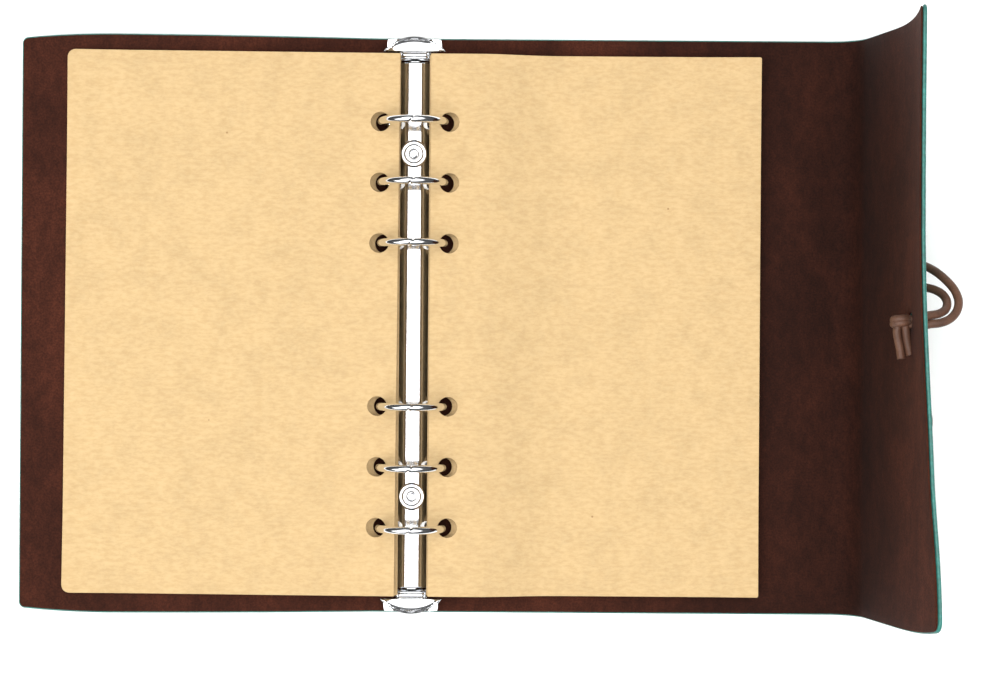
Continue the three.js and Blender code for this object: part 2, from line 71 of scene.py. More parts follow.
MM = 0.001
ANCHORS = {joint["name"]: joint["pos_m"] for joint in frame["joints"]}
SPINE_HALF = abs(ANCHORS["front_cover_fold"][0])
BACK_FOLD = ANCHORS["gusset_fold"][0]
COVER_TOP = ANCHORS["front_cover_fold"][2]
COVER_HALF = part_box("spine_outer")[1].y
RING_CENTRE = ANCHORS["left_sheets_turn"][2]
RING_ROWS = sorted(
    (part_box(f"half_ring_left_{i + 1}")[0].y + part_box(f"half_ring_left_{i + 1}")[1].y) / 2
    for i in range(6)
)
POST_ROW = (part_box("post_top")[0].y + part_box("post_top")[1].y) / 2
PIN_ROW = ANCHORS["top_lever_press"][1]
PIN_RISE = ANCHORS["top_lever_press"][2]
HOUSING_LOW, HOUSING_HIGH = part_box("ring_housing")


# ---- Settings ----------------------------------------------------------------------------------


def linear(code):
    """An sRGB hex colour as linear red, green, blue and alpha."""
    values = [int(code[i : i + 2], 16) / 255 for i in (1, 3, 5)]
    return [v / 12.92 if v <= 0.04045 else ((v + 0.055) / 1.055) ** 2.4 for v in values] + [1.0]


def length(name, millimetres, description):
    """A length that a user may change, with its default in millimetres."""
    return FloatProperty(
        name=name, description=description, default=millimetres * MM, min=0.0, precision=5,
        subtype="DISTANCE", unit="LENGTH",
    )


def colour(name, code, description):
    """A colour that a user may change, with its default as an sRGB hex value."""
    return FloatVectorProperty(
        name=name, description=description, default=linear(code), size=4, min=0.0, max=1.0,
        subtype="COLOR",
    )


class CoverSettings(bpy.types.PropertyGroup):
    """The bonded leather cover."""

    skin: length("Skin", 1.2, "Thickness of the outer leather")
    bond: length("Bond", 0.1, "Gap between the two leathers")
    setback: length("Setback", 0.45, "How far the lining stops short of the skin's edge")
    fold_reach: length("Fold reach", 4.0, "Half the width of the strip that bends at a fold")
    ripple: length("Ripple", 0.12, "Height of the slow waves in the leather")
    flap_lean: length("Flap lean", 3.8, "How far the flap's tip leans in at its upper part")
    lean_start: FloatProperty(
        name="Lean start",
        description="Place along the spine where the flap's tip starts to lean in",
        default=-75 * MM, subtype="DISTANCE", unit="LENGTH",
    )
    lean_run: length("Lean run", 105.0, "Distance along the spine over which the lean grows")
    flap_flare: length("Flap flare", 2.0, "How far the tip stands out at its lower end")
    flap_skew: length("Flap skew", 2.8, "How far the flap's tip has crept along the spine")
    skin_colour: colour("Skin colour", "#2c7a70", "Colour of the coated outer leather")
    lining_colour: colour("Lining colour", "#432014", "Colour of the brushed lining leather")


class SheetSettings(bpy.types.PropertyGroup):
    """The kraft card sheets."""

    thickness: length("Thickness", 0.45, "Thickness of one sheet")
    width: length("Width", 104.0, "Width of one sheet")
    height: length("Height", 170.0, "Height of one sheet")
    margin: length("Punch margin", 6.0, "From a sheet's inner edge to the middle of its holes")
    left_slack: length("Left slack", 0.4, "How far the left holes stand out from the rings")
    right_slack: length("Right slack", 1.1, "How far the right holes stand out from the rings")
    covered: length("Covered edge", 1.2, "How far a covered sheet stops short beside the rings")
    fan: length("Fan", 0.4, "How much further the top sheet stands out than the lowest")
    punch: length("Punched hole", 3.0, "Radius of the punched holes")
    corner: length("Corner", 2.5, "Radius of the left sheets' outer corners")
    wave: length("Wave", 0.12, "Height of the slow waves in the card")
    lift: length("Lift", 0.7, "How far the corners of the top sheets stand up")
    card_colour: colour("Card colour", "#c4a87c", "Colour of the kraft card")


class RingSettings(bpy.types.PropertyGroup):
    """The ring mechanism."""

    radius: length("Ring radius", 9.9, "Radius of a ring, to the middle of its wire")
    wire: length("Wire radius", 1.2, "Radius of the ring wire")
    joint_gap: length("Joint gap", 0.3, "Gap between two half rings that are shut")
    joint_step: length("Joint step", 0.55, "Offset of the stepped joint at the top of a ring")
    wall: length("Housing wall", 0.8, "Thickness of the housing's sheet steel")
    sweep: FloatProperty(
        name="Ring sweep", description="Angle of a half ring, from its joint to its seat",
        default=math.radians(152.5), subtype="ANGLE", unit="ROTATION",
    )
    wing_width: length("Wing width", 19.6, "Width of a lever's thumb wing")
    wing_depth: length("Wing depth", 4.7, "Depth of a lever's thumb wing")
    chrome_colour: colour("Chrome colour", "#e3e4e6", "Colour of the chromium plate")
    steel_colour: colour("Steel colour", "#b4b2ad", "Colour of the nickelled spring steel")


class LaceSettings(bpy.types.PropertyGroup):
    """The doubled leather lace that is knotted through the flap."""

    thickness: length("Thickness", 2.6, "Thickness of the lace")
    turns: IntProperty(
        name="Turns", description="Whole turns of the lace in the hank", default=3, min=1, max=4
    )
    lace_colour: colour("Lace colour", "#61402f", "Colour of the oiled leather lace")


class StageSettings(bpy.types.PropertyGroup):
    """The camera, the floor and the light."""

    height: length("Camera height", 695.6, "Height of the camera over the floor")
    turn: FloatProperty(
        name="Camera turn", description="Turn of the camera about its own axis",
        default=math.radians(0.4), subtype="ANGLE", unit="ROTATION",
    )
    lens: FloatProperty(
        name="Lens", description="Focal length in millimetres", default=80.0, min=20.0
    )
    key_power: FloatProperty(
        name="Key power", description="Power of the key light", default=7.0, subtype="POWER"
    )
    floor_colour: colour("Floor colour", "#f6f7f6", "Colour of the matt floor")


def cover():
    """The cover's settings."""
    return bpy.context.scene.album_cover


# ---- Materials ---------------------------------------------------------------------------------


def feed(tree, node, values=None, links=None):
    """Sets a node's socket values and makes its incoming links."""
    for name, value in (values or {}).items():
        node.inputs[name].default_value = value
    for name, source in (links or {}).items():
        tree.links.new(source, node.inputs[name])
    return node


def add(tree, kind, settings=None, values=None, links=None, stops=()):
    """Adds a node with its settings, socket values and links, and the stops of its colour ramp."""
    node = tree.nodes.new(kind)
    for name, value in (settings or {}).items():
        setattr(node, name, value)
    for i, (position, tone) in enumerate(stops):
        if i == len(node.color_ramp.elements):
            node.color_ramp.elements.new(1.0)
        node.color_ramp.elements[i].position = position
        node.color_ramp.elements[i].color = tone
    return feed(tree, node, values, links)


def shade(tone, share):
    """A colour made darker or lighter by a share, with its alpha kept."""
    return [min(1.0, part * share) for part in tone[:3]] + [1.0]


def coated_grain_leather(tree, shader, place):
    """Pigment-coated, embossed leather: pebbles with darker furrows, and a soft satin gloss."""
    tone = list(cover().skin_colour)
    pebble = 1.1 * MM
    pores = 0.25 * MM
    cells = add(
        tree, "ShaderNodeTexVoronoi", {"feature": "SMOOTH_F1"},
        {"Scale": 1 / pebble, "Smoothness": 0.35, "Randomness": 0.9}, {"Vector": place},
    )
    grain = add(
        tree, "ShaderNodeTexNoise", values={"Scale": 1 / pores, "Detail": 3.0, "Roughness": 0.6},
        links={"Vector": place},
    )
    patches = add(
        tree, "ShaderNodeTexNoise",
        values={"Scale": 1 / (14 * MM), "Detail": 4.0, "Roughness": 0.65}, links={"Vector": place},
    )
    base = add(
        tree, "ShaderNodeValToRGB", links={"Fac": patches.outputs["Fac"]},
        stops=[(0.3, shade(tone, 0.8)), (0.52, tone), (0.75, shade(tone, 1.5))],
    ).outputs["Color"]
    furrows = add(
        tree, "ShaderNodeValToRGB", links={"Fac": cells.outputs["Distance"]},
        stops=[(0.15, (1, 1, 1, 1)), (0.75, (0.55, 0.55, 0.55, 1))],
    ).outputs["Color"]
    tinted = add(
        tree, "ShaderNodeMix", {"data_type": "RGBA", "blend_type": "MULTIPLY"}, {0: 0.8},
        {6: base, 7: furrows},
    )
    low = add(
        tree, "ShaderNodeBump", {"invert": True}, {"Strength": 0.8, "Distance": 0.12 * MM},
        {"Height": cells.outputs["Distance"]},
    )
    fine = add(
        tree, "ShaderNodeBump", values={"Strength": 0.5, "Distance": 0.03 * MM},
        links={"Height": grain.outputs["Fac"], "Normal": low.outputs["Normal"]},
    )
    rough = add(
        tree, "ShaderNodeMapRange", values={"To Min": 0.42, "To Max": 0.62},
        links={"Value": patches.outputs["Fac"]},
    )
    feed(
        tree, shader, {"IOR": 1.48, "Coat Weight": 0.08, "Coat Roughness": 0.35},
        {
            "Base Color": tinted.outputs[2], "Roughness": rough.outputs["Result"],
            "Normal": fine.outputs["Normal"],
        },
    )


def brushed_split_leather(tree, shader, place):
    """Split leather brushed to a nap: dark, almost matt, with cloudy strokes and a faint sheen."""
    tone = list(cover().lining_colour)
    stretched = add(
        tree, "ShaderNodeMapping", values={"Scale": (1.0, 0.55, 1.0), "Rotation": (0.0, 0.0, 0.35)},
        links={"Vector": place},
    )
    clouds = add(
        tree, "ShaderNodeTexNoise",
        values={"Scale": 1 / (22 * MM), "Detail": 6.0, "Roughness": 0.62, "Distortion": 0.6},
        links={"Vector": stretched.outputs["Vector"]},
    )
    strokes = add(
        tree, "ShaderNodeTexNoise",
        values={"Scale": 1 / (2.4 * MM), "Detail": 4.0, "Roughness": 0.7},
        links={"Vector": stretched.outputs["Vector"]},
    )
    nap = add(
        tree, "ShaderNodeTexNoise",
        values={"Scale": 1 / (0.6 * MM), "Detail": 3.0, "Roughness": 0.7}, links={"Vector": place},
    )
    base = add(
        tree, "ShaderNodeValToRGB", links={"Fac": clouds.outputs["Fac"]},
        stops=[(0.36, shade(tone, 0.78)), (0.5, tone), (0.64, shade(tone, 1.3))],
    ).outputs["Color"]
    streaks = add(
        tree, "ShaderNodeValToRGB", links={"Fac": strokes.outputs["Fac"]},
        stops=[(0.38, (0.72, 0.72, 0.72, 1)), (0.62, (1, 1, 1, 1))],
    ).outputs["Color"]
    brushed = add(
        tree, "ShaderNodeMix", {"data_type": "RGBA", "blend_type": "MULTIPLY"}, {0: 1.0},
        {6: base, 7: streaks},
    )
    fibres = add(
        tree, "ShaderNodeValToRGB", links={"Fac": nap.outputs["Fac"]},
        stops=[(0.38, (0.5, 0.5, 0.5, 1)), (0.62, (1, 1, 1, 1))],
    ).outputs["Color"]
    napped = add(
        tree, "ShaderNodeMix", {"data_type": "RGBA", "blend_type": "MULTIPLY"}, {0: 0.8},
        {6: brushed.outputs[2], 7: fibres},
    )
    # Painted shade and painted light: the back panel is darkened towards the flap, where the sheets
    # and the flap shade it, and the colour is lightened again as the flap rises towards the light.
    spot = add(tree, "ShaderNodeSeparateXYZ", links={"Vector": place})
    painted_shade_by_x = add(
        tree, "ShaderNodeMapRange", {"interpolation_type": "SMOOTHSTEP"},
        {"From Min": 50 * MM, "From Max": 112 * MM, "To Min": 1.0, "To Max": 0.56},
        {"Value": spot.outputs["X"]},
    )
    painted_light_by_z = add(
        tree, "ShaderNodeMapRange", {"interpolation_type": "SMOOTHSTEP"},
        {"From Min": 12 * MM, "From Max": 62 * MM, "To Min": 0.56, "To Max": 1.2},
        {"Value": spot.outputs["Z"]},
    )
    turned = add(
        tree, "ShaderNodeMath", {"operation": "MAXIMUM"},
        links={0: painted_shade_by_x.outputs["Result"], 1: painted_light_by_z.outputs["Result"]},
    )
    # Multiplies the painted shade and painted light into the lining's colour.
    shade_painted = add(
        tree, "ShaderNodeMix", {"data_type": "RGBA", "blend_type": "MULTIPLY"}, {0: 1.0},
        {6: napped.outputs[2], 7: turned.outputs["Value"]},
    )
    soft = add(
        tree, "ShaderNodeBump", values={"Strength": 0.6, "Distance": 0.08 * MM},
        links={"Height": strokes.outputs["Fac"]},
    )
    fuzz = add(
        tree, "ShaderNodeBump", values={"Strength": 0.7, "Distance": 0.05 * MM},
        links={"Height": nap.outputs["Fac"], "Normal": soft.outputs["Normal"]},
    )
    feed(
        tree, shader,
        {
            "Roughness": 0.82, "IOR": 1.42, "Specular IOR Level": 0.15, "Sheen Weight": 0.02,
            "Sheen Roughness": 0.5,
        },
        {"Base Color": shade_painted.outputs[2], "Normal": fuzz.outputs["Normal"]},
    )


def bright_chromium_plate(tree, shader, place):
    """Polished steel under bright chromium plate: a clear mirror with a breath of haze."""
    haze = add(
        tree, "ShaderNodeTexNoise", values={"Scale": 1 / (6 * MM), "Detail": 3.0},
        links={"Vector": place},
    )
    rough = add(
        tree, "ShaderNodeMapRange", values={"To Min": 0.06, "To Max": 0.16},
        links={"Value": haze.outputs["Fac"]},
    )
    polish = add(
        tree, "ShaderNodeTexNoise", values={"Scale": 1 / (1.5 * MM), "Detail": 2.0},
        links={"Vector": place},
    )
    bump = add(
        tree, "ShaderNodeBump", values={"Strength": 0.15, "Distance": 0.02 * MM},
        links={"Height": polish.outputs["Fac"]},
    )
    feed(
        tree, shader,
        {"Base Color": list(bpy.context.scene.album_rings.chrome_colour), "Metallic": 1.0},
        {"Roughness": rough.outputs["Result"], "Normal": bump.outputs["Normal"]},
    )


def nickelled_spring_steel(tree, shader, place):
    """Rolled spring steel, nickelled: grey, with fine rolling lines along the strip."""
    drawn = add(
        tree, "ShaderNodeMapping", values={"Scale": (1.0, 0.04, 1.0)}, links={"Vector": place}
    )
    lines = add(
        tree, "ShaderNodeTexNoise",
        values={"Scale": 1 / (0.2 * MM), "Detail": 3.0, "Roughness": 0.6},
        links={"Vector": drawn.outputs["Vector"]},
    )
    rough = add(
        tree, "ShaderNodeMapRange", values={"To Min": 0.22, "To Max": 0.42},
        links={"Value": lines.outputs["Fac"]},
    )
    bump = add(
        tree, "ShaderNodeBump", values={"Strength": 0.3, "Distance": 0.01 * MM},
        links={"Height": lines.outputs["Fac"]},
    )
    feed(
        tree, shader,
        {"Base Color": list(bpy.context.scene.album_rings.steel_colour), "Metallic": 1.0},
        {"Roughness": rough.outputs["Result"], "Normal": bump.outputs["Normal"]},
    )


def unbleached_kraft_card(tree, shader, place):
    """Unbleached kraft card, calendered: warm tan, faint fibre clouds and a rare dark fleck."""
    tone = list(bpy.context.scene.album_sheets.card_colour)
    clouds = add(
        tree, "ShaderNodeTexNoise",
        values={"Scale": 1 / (9 * MM), "Detail": 6.0, "Roughness": 0.72}, links={"Vector": place},
    )
    laid = add(
        tree, "ShaderNodeMapping", values={"Scale": (0.4, 1.0, 1.0)}, links={"Vector": place}
    )
    fibre = add(
        tree, "ShaderNodeTexNoise",
        values={"Scale": 1 / (1.1 * MM), "Detail": 4.0, "Roughness": 0.7},
        links={"Vector": laid.outputs["Vector"]},
    )
    # A fleck is a shive of bark about a third of a millimetre long, one in each patch of 16 mm.
    shive = add(
        tree, "ShaderNodeTexVoronoi", {"feature": "F1"},
        {"Scale": 1 / (16 * MM), "Randomness": 1.0}, {"Vector": place},
    )
    base = add(
        tree, "ShaderNodeValToRGB", links={"Fac": clouds.outputs["Fac"]},
        stops=[(0.36, shade(tone, 0.94)), (0.5, tone), (0.64, shade(tone, 1.04))],
    ).outputs["Color"]
    threads = add(
        tree, "ShaderNodeValToRGB", links={"Fac": fibre.outputs["Fac"]},
        stops=[(0.38, (0.9, 0.87, 0.82, 1)), (0.6, (1, 1, 1, 1))],
    ).outputs["Color"]
    pulped = add(
        tree, "ShaderNodeMix", {"data_type": "RGBA", "blend_type": "MULTIPLY"}, {0: 1.0},
        {6: base, 7: threads},
    )
    spots = add(
        tree, "ShaderNodeMapRange",
        values={"From Min": 0.014, "From Max": 0.026, "To Min": 0.6, "To Max": 0.0},
        links={"Value": shive.outputs["Distance"]},
    )
    flecked = add(
        tree, "ShaderNodeMix", {"data_type": "RGBA"}, {7: linear("#7a5530")},
        {0: spots.outputs["Result"], 6: pulped.outputs[2]},
    )
    bump = add(
        tree, "ShaderNodeBump", values={"Strength": 0.35, "Distance": 0.02 * MM},
        links={"Height": fibre.outputs["Fac"]},
    )
    feed(
        tree, shader, {"Roughness": 0.86, "IOR": 1.45, "Specular IOR Level": 0.3},
        {"Base Color": flecked.outputs[2], "Normal": bump.outputs["Normal"]},
    )


def oiled_lace_leather(tree, shader, place):
    """Oiled leather cut to a lace: warm brown, drawn lighter and darker along its length."""
    tone = list(bpy.context.scene.album_lace.lace_colour)
    drawn = add(
        tree, "ShaderNodeTexNoise", values={"Scale": 1 / (5 * MM), "Detail": 5.0, "Roughness": 0.7},
        links={"Vector": place},
    )
    pores = add(
        tree, "ShaderNodeTexVoronoi", {"feature": "SMOOTH_F1"},
        {"Scale": 1 / (0.45 * MM), "Smoothness": 0.3}, {"Vector": place},
    )
    base = add(
        tree, "ShaderNodeValToRGB", links={"Fac": drawn.outputs["Fac"]},
        stops=[(0.3, shade(tone, 0.6)), (0.5, tone), (0.72, shade(tone, 1.4))],
    ).outputs["Color"]
    pits = add(
        tree, "ShaderNodeValToRGB", links={"Fac": pores.outputs["Distance"]},
        stops=[(0.2, (1, 1, 1, 1)), (0.8, (0.7, 0.7, 0.7, 1))],
    ).outputs["Color"]
    worn = add(
        tree, "ShaderNodeMix", {"data_type": "RGBA", "blend_type": "MULTIPLY"}, {0: 0.7},
        {6: base, 7: pits},
    )
    bump = add(
        tree, "ShaderNodeBump", {"invert": True}, {"Strength": 0.6, "Distance": 0.06 * MM},
        {"Height": pores.outputs["Distance"]},
    )
    feed(
        tree, shader, {"Roughness": 0.58, "IOR": 1.48},
        {"Base Color": worn.outputs[2], "Normal": bump.outputs["Normal"]},
    )


def matt_paper_floor(tree, shader, place):
    """A roll of matt white paper: pale, with a trace of tooth."""
    tooth = add(
        tree, "ShaderNodeTexNoise", values={"Scale": 1 / (2 * MM), "Detail": 2.0},
        links={"Vector": place},
    )
    bump = add(
        tree, "ShaderNodeBump", values={"Strength": 0.1, "Distance": 0.02 * MM},
        links={"Height": tooth.outputs["Fac"]},
    )
    feed(
        tree, shader,
        {
            "Base Color": list(bpy.context.scene.album_stage.floor_colour), "Roughness": 0.95,
            "Specular IOR Level": 0.1,
        },
        {"Normal": bump.outputs["Normal"]},
    )


MADE = {}
FINISHES = {
    "teal_leather": coated_grain_leather, "suede_lining": brushed_split_leather,
    "chrome": bright_chromium_plate, "steel": nickelled_spring_steel,
    "kraft_card": unbleached_kraft_card, "thong_leather": oiled_lace_leather,
    "floor": matt_paper_floor,
}


def finish_of(name):
    """The material for one of the record's slots, made the first time it is asked for."""
    build = FINISHES[name]
    if name in MADE:
        return bpy.data.materials[MADE[name]]
    material = bpy.data.materials.new(build.__name__)
    MADE[name] = material.name
    material.use_nodes = True
    tree = material.node_tree
    tree.nodes.clear()
    shader = add(tree, "ShaderNodeBsdfPrincipled")
    add(tree, "ShaderNodeOutputMaterial", links={"Surface": shader.outputs["BSDF"]})
    build(tree, shader, add(tree, "ShaderNodeTexCoord").outputs["Object"])
    return material


# ---- Mesh helpers ------------------------------------------------------------------------------


def ease(share):
    """A share from 0 to 1, eased at both ends."""
    share = min(1.0, max(0.0, share))
    return share * share * (3 - 2 * share)


def piece_from(name, bm, sharp=math.radians(42)):
    """A new object from a bmesh, shaded smooth with its hard edges kept."""
    bmesh.ops.recalc_face_normals(bm, faces=bm.faces)
    for face in bm.faces:
        face.smooth = True
    for edge in bm.edges:
        if len(edge.link_faces) == 2 and edge.calc_face_angle(0.0) > sharp:
            edge.smooth = False
    mesh = bpy.data.meshes.new(name)
    bm.to_mesh(mesh)
    bm.free()
    obj = bpy.data.objects.new(name, mesh)
    bpy.context.scene.collection.objects.link(obj)
    return obj


def dress(obj, slot, nodes=()):
    """Gives a piece its finish, and hides the frame's nodes that it stands for."""
    obj.data.materials.clear()
    obj.data.materials.append(finish_of(slot))
    if nodes:
        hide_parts(*nodes)
    return obj


def bridge(bm, first, second):
    """Faces between two closed loops with as many points."""
    for i in range(len(first)):
        j = (i + 1) % len(first)
        bm.faces.new((first[i], first[j], second[j], second[i]))


def plate(bm, outline, holes, step, place, near, far, rounding, arc=4):
    """Adds a closed sheet: two faces on a fine grid, and a rounded edge at each rim.

    outline and each of the holes give a loop of points drawn in from their edge by an inset, and
    place turns a point of the plan and a depth from near to far into a place in the frame.
    """
    rims = [outline, *holes]
    loops = [rim(rounding) for rim in rims]
    points = [Vector(point) for loop in loops for point in loop]
    edges = []
    starts = []
    for loop in loops:
        start = sum(len(other) for other in loops[: len(starts)])
        starts.append(start)
        edges += [(start + i, start + (i + 1) % len(loop)) for i in range(len(loop))]
    rim_tree = KDTree(len(points))
    for i, point in enumerate(points):
        rim_tree.insert((point.x, point.y, 0), i)
    rim_tree.balance()
    low = [min(point[axis] for point in loops[0]) for axis in (0, 1)]
    high = [max(point[axis] for point in loops[0]) for axis in (0, 1)]
    counts = [max(1, round((high[axis] - low[axis]) / step[axis])) for axis in (0, 1)]
    for i in range(1, counts[0]):
        for j in range(1, counts[1]):
            u = low[0] + (high[0] - low[0]) * i / counts[0]
            v = low[1] + (high[1] - low[1]) * j / counts[1]
            if rim_tree.find((u, v, 0))[2] > 0.4 * min(step):
                points.append(Vector((u, v)))
    verts, _, faces, sources, _, _ = delaunay_2d_cdt(points, edges, [], 1, 1e-7, True)
    circles = []
    for loop in loops[1:]:
        centre = sum((Vector(point) for point in loop), Vector((0, 0))) / len(loop)
        circles.append((centre, (Vector(loop[0]) - centre).length))
    kept = []
    for face in faces:
        middle = sum((verts[i] for i in face), Vector((0, 0))) / len(face)
        if all((middle - centre).length > radius for centre, radius in circles):
            kept.append(face)
    used = sorted({i for face in kept for i in face})
    upper = {i: bm.verts.new(place(verts[i].x, verts[i].y, far)) for i in used}
    lower = {i: bm.verts.new(place(verts[i].x, verts[i].y, near)) for i in used}
    for face in kept:
        bm.faces.new([upper[i] for i in face])
        bm.faces.new([lower[i] for i in reversed(face)])
    new_index = {source: i for i in used for source in sources[i]}
    for rim, start, loop in zip(rims, starts, loops):
        ring = [upper[new_index[start + i]] for i in range(len(loop))]
        for k in range(1, arc):
            turn = math.pi / 2 - math.pi * k / arc
            depth = (near + far) / 2 + (far - near) / 2 * math.sin(turn)
            inset = rounding * (1 - math.cos(turn))
            following = [bm.verts.new(place(u, v, depth)) for u, v in rim(inset)]
            bridge(bm, ring, following)
            ring = following
        bridge(bm, ring, [lower[new_index[start + i]] for i in range(len(loop))])


def panel_outline(start, end, half, step, corner=0.0, taper=0.0, joined=(False, False)):
    """The outline of a panel from start to end: a joined end stays put when the outline is drawn in.

    corner rounds the far corners, and taper makes the far end shorter than the rest.
    """
    columns = max(1, round((end - start) / step[0]))
    rows = max(2, round(2 * half / step[1]))
    taper_run = 30 * MM

    def outline(inset):
        first = start if joined[0] else start + inset
        last = end if joined[1] else end - inset
        radius = corner - inset if corner else 0.0

        def edge(along):
            share = max(0.0, (along - end + taper_run) / taper_run)
            return half - inset - taper * share * share

        rail = [
            (first + (last - radius - first) * i / columns) for i in range(columns + (corner == 0))
        ]
        rail = [(along, edge(along)) for along in rail]
        if corner:
            for i in range(7):
                turn = math.pi / 2 * i / 6
                along = last - radius + radius * math.sin(turn)
                rail.append((along, edge(last - radius) - radius + radius * math.cos(turn)))
        foot, tip = rail[0][1], rail[-1][1]
        loop = [(along, -height) for along, height in rail]
        if not corner:
            loop[-1] = (last, -tip)
        loop += [(last, tip * (2 * i / rows - 1)) for i in range(1, rows)]
        loop += [(along, height) for along, height in reversed(rail)]
        loop += [(first, foot * (1 - 2 * i / rows)) for i in range(1, rows)]
        return loop

    return outline


def round_hole(u, v, radius, sides=24):
    """A round hole's rim, which grows as it is drawn in from its edge."""

    def rim(inset):
        reach = radius + inset
        turns = [2 * math.pi * i / sides for i in range(sides)]
        return [(u + reach * math.cos(turn), v + reach * math.sin(turn)) for turn in turns]

    return rim


def lathe(bm, profile, place, steps=48):
    """Adds a turned shape. place gives the point at a radius, a turn and a height."""
    rings = []
    for radius, height in profile:
        if radius == 0:
            rings.append([bm.verts.new(place(0.0, 0.0, height))])
        else:
            turns = [2 * math.pi * i / steps for i in range(steps)]
            rings.append([bm.verts.new(place(radius, turn, height)) for turn in turns])
    for first, second in zip(rings, rings[1:]):
        if len(first) == 1 or len(second) == 1:
            tip, rim = (first[0], second) if len(first) == 1 else (second[0], first)
            for i in range(steps):
                bm.faces.new((tip, rim[i], rim[(i + 1) % steps]))
        else:
            bridge(bm, first, second)
    if len(rings[0]) > 1:
        bridge(bm, rings[-1], rings[0])


def upright(x, y):
    """Places a turned shape that stands on the point x, y."""
    return lambda radius, turn, z: Vector(
        (x + radius * math.cos(turn), y + radius * math.sin(turn), z)
    )


def crosswise(y, z):
    """Places a turned shape that lies along X."""
    return lambda radius, turn, x: Vector(
        (x, y + radius * math.cos(turn), z + radius * math.sin(turn))
    )


def prism(bm, outline, low, high, axis=2):
    """Adds an outline drawn out from low to high along Z, or along X."""
    loops = []
    for level in (low, high):
        points = [(u, v, level) if axis == 2 else (level, u, v) for u, v in outline]
        loops.append([bm.verts.new(point) for point in points])
    bridge(bm, *loops)
    bm.faces.new(loops[0])
    bm.faces.new(list(reversed(loops[1])))


def cut(obj, bm):
    """Cuts the shapes in a bmesh out of a piece."""
    tool = piece_from("cutting_tool", bm)
    change = obj.modifiers.new("cut", "BOOLEAN")
    change.operation = "DIFFERENCE"
    change.solver = "EXACT"
    change.object = tool
    bpy.context.view_layer.update()
    graph = bpy.context.evaluated_depsgraph_get()
    mesh = bpy.data.meshes.new_from_object(obj.evaluated_get(graph))
    obj.modifiers.clear()
    obj.data = mesh
    tool_mesh = tool.data
    bpy.data.objects.remove(tool)
    bpy.data.meshes.remove(tool_mesh)
    fresh = bmesh.new()
    fresh.from_mesh(mesh)
    bmesh.ops.recalc_face_normals(fresh, faces=fresh.faces)
    for edge in fresh.edges:
        if len(edge.link_faces) == 2:
            edge.smooth = edge.calc_face_angle(0.0) < math.radians(30)
    fresh.to_mesh(mesh)
    fresh.free()
    return obj


def smooth_route(points, per_span):
    """A smooth line through the points, with a number of steps in each span."""
    ends = [2 * points[0] - points[1], *points, 2 * points[-1] - points[-2]]
    line = []
    for i in range(1, len(ends) - 2):
        before, a, b, after = ends[i - 1 : i + 3]
        knots = [0.0]
        for p, q in ((before, a), (a, b), (b, after)):
            knots.append(knots[-1] + math.sqrt((q - p).length))
        for k in range(per_span):
            t = knots[1] + (knots[2] - knots[1]) * k / per_span

            def mix(p, q, low, high):
                return p * ((high - t) / (high - low)) + q * ((t - low) / (high - low))

            first = mix(before, a, knots[0], knots[1])
            second = mix(a, b, knots[1], knots[2])
            third = mix(b, after, knots[2], knots[3])
            lower = mix(first, second, knots[0], knots[2])
            higher = mix(second, third, knots[1], knots[3])
            line.append(mix(lower, higher, knots[1], knots[2]))
    line.append(points[-1])
    return line


def cord_curve(name, lines, radius):
    """A curve object with one open spline for each line, as thick as the lace."""
    data = bpy.data.curves.new(name, "CURVE")
    data.dimensions = "3D"
    data.bevel_depth = radius
    data.bevel_resolution = 5
    data.use_fill_caps = True
    for line in lines:
        spline = data.splines.new("POLY")
        spline.points.add(len(line) - 1)
        for point, place in zip(spline.points, line):
            point.co = (*place, 1.0)
        spline.use_smooth = True
    obj = bpy.data.objects.new(name, data)
    bpy.context.scene.collection.objects.link(obj)
    return obj


# ---- The line of the cover ---------------------------------------------------------------------


class CoverLine:
    """The cover's outer face in the XZ plane, from the middle of the spine outwards.

    Each stretch is a length and the angle that it turns through.
    """

    def __init__(self, side, stretches):
        self.side = side
        self.stretches = []
        start = x = z = heading = 0.0
        for run, turn in stretches:
            self.stretches.append((start, x, z, heading, turn / run))
            x, z, heading = self.step(x, z, heading, turn / run, run)
            start += run
        self.length = start

    @staticmethod
    def step(x, z, heading, bend, run):
        """Where an arc leads."""
        if abs(bend) < 1e-9:
            return x + run * math.cos(heading), z + run * math.sin(heading), heading
        after = heading + bend * run
        x += (math.sin(after) - math.sin(heading)) / bend
        z += (math.cos(heading) - math.cos(after)) / bend
        return x, z, after

    def place(self, along, y, depth):
        """The place at a distance along the line and a depth inward of the outer face."""
        start, x, z, heading, bend = [s for s in self.stretches if s[0] <= along + 1e-9][-1]
        x, z, heading = self.step(x, z, heading, bend, along - start)
        x -= depth * math.sin(heading)
        z += depth * math.cos(heading)
        return Vector((self.side * x, y, z))


FRONT_WIDTH = 110 * MM
FRONT_RISE = 4 * MM
FRONT_RADIUS = FRONT_WIDTH**2 / (8 * FRONT_RISE) + FRONT_RISE / 2
FRONT_SWING = 2 * math.asin(FRONT_WIDTH / 2 / FRONT_RADIUS)
FRONT_TAPER = 1.5 * MM
FRONT_CORNER = 2 * MM
CREASE_RUN = 2 * MM
CREASE_TURN = FRONT_SWING / 2 - CREASE_RUN / FRONT_RADIUS
FRONT_LINE = CoverLine(
    -1,
    [
        (SPINE_HALF - CREASE_RUN, 0.0), (2 * CREASE_RUN, CREASE_TURN),
        (FRONT_RADIUS * FRONT_SWING - CREASE_RUN, CREASE_TURN - FRONT_SWING),
    ],
)

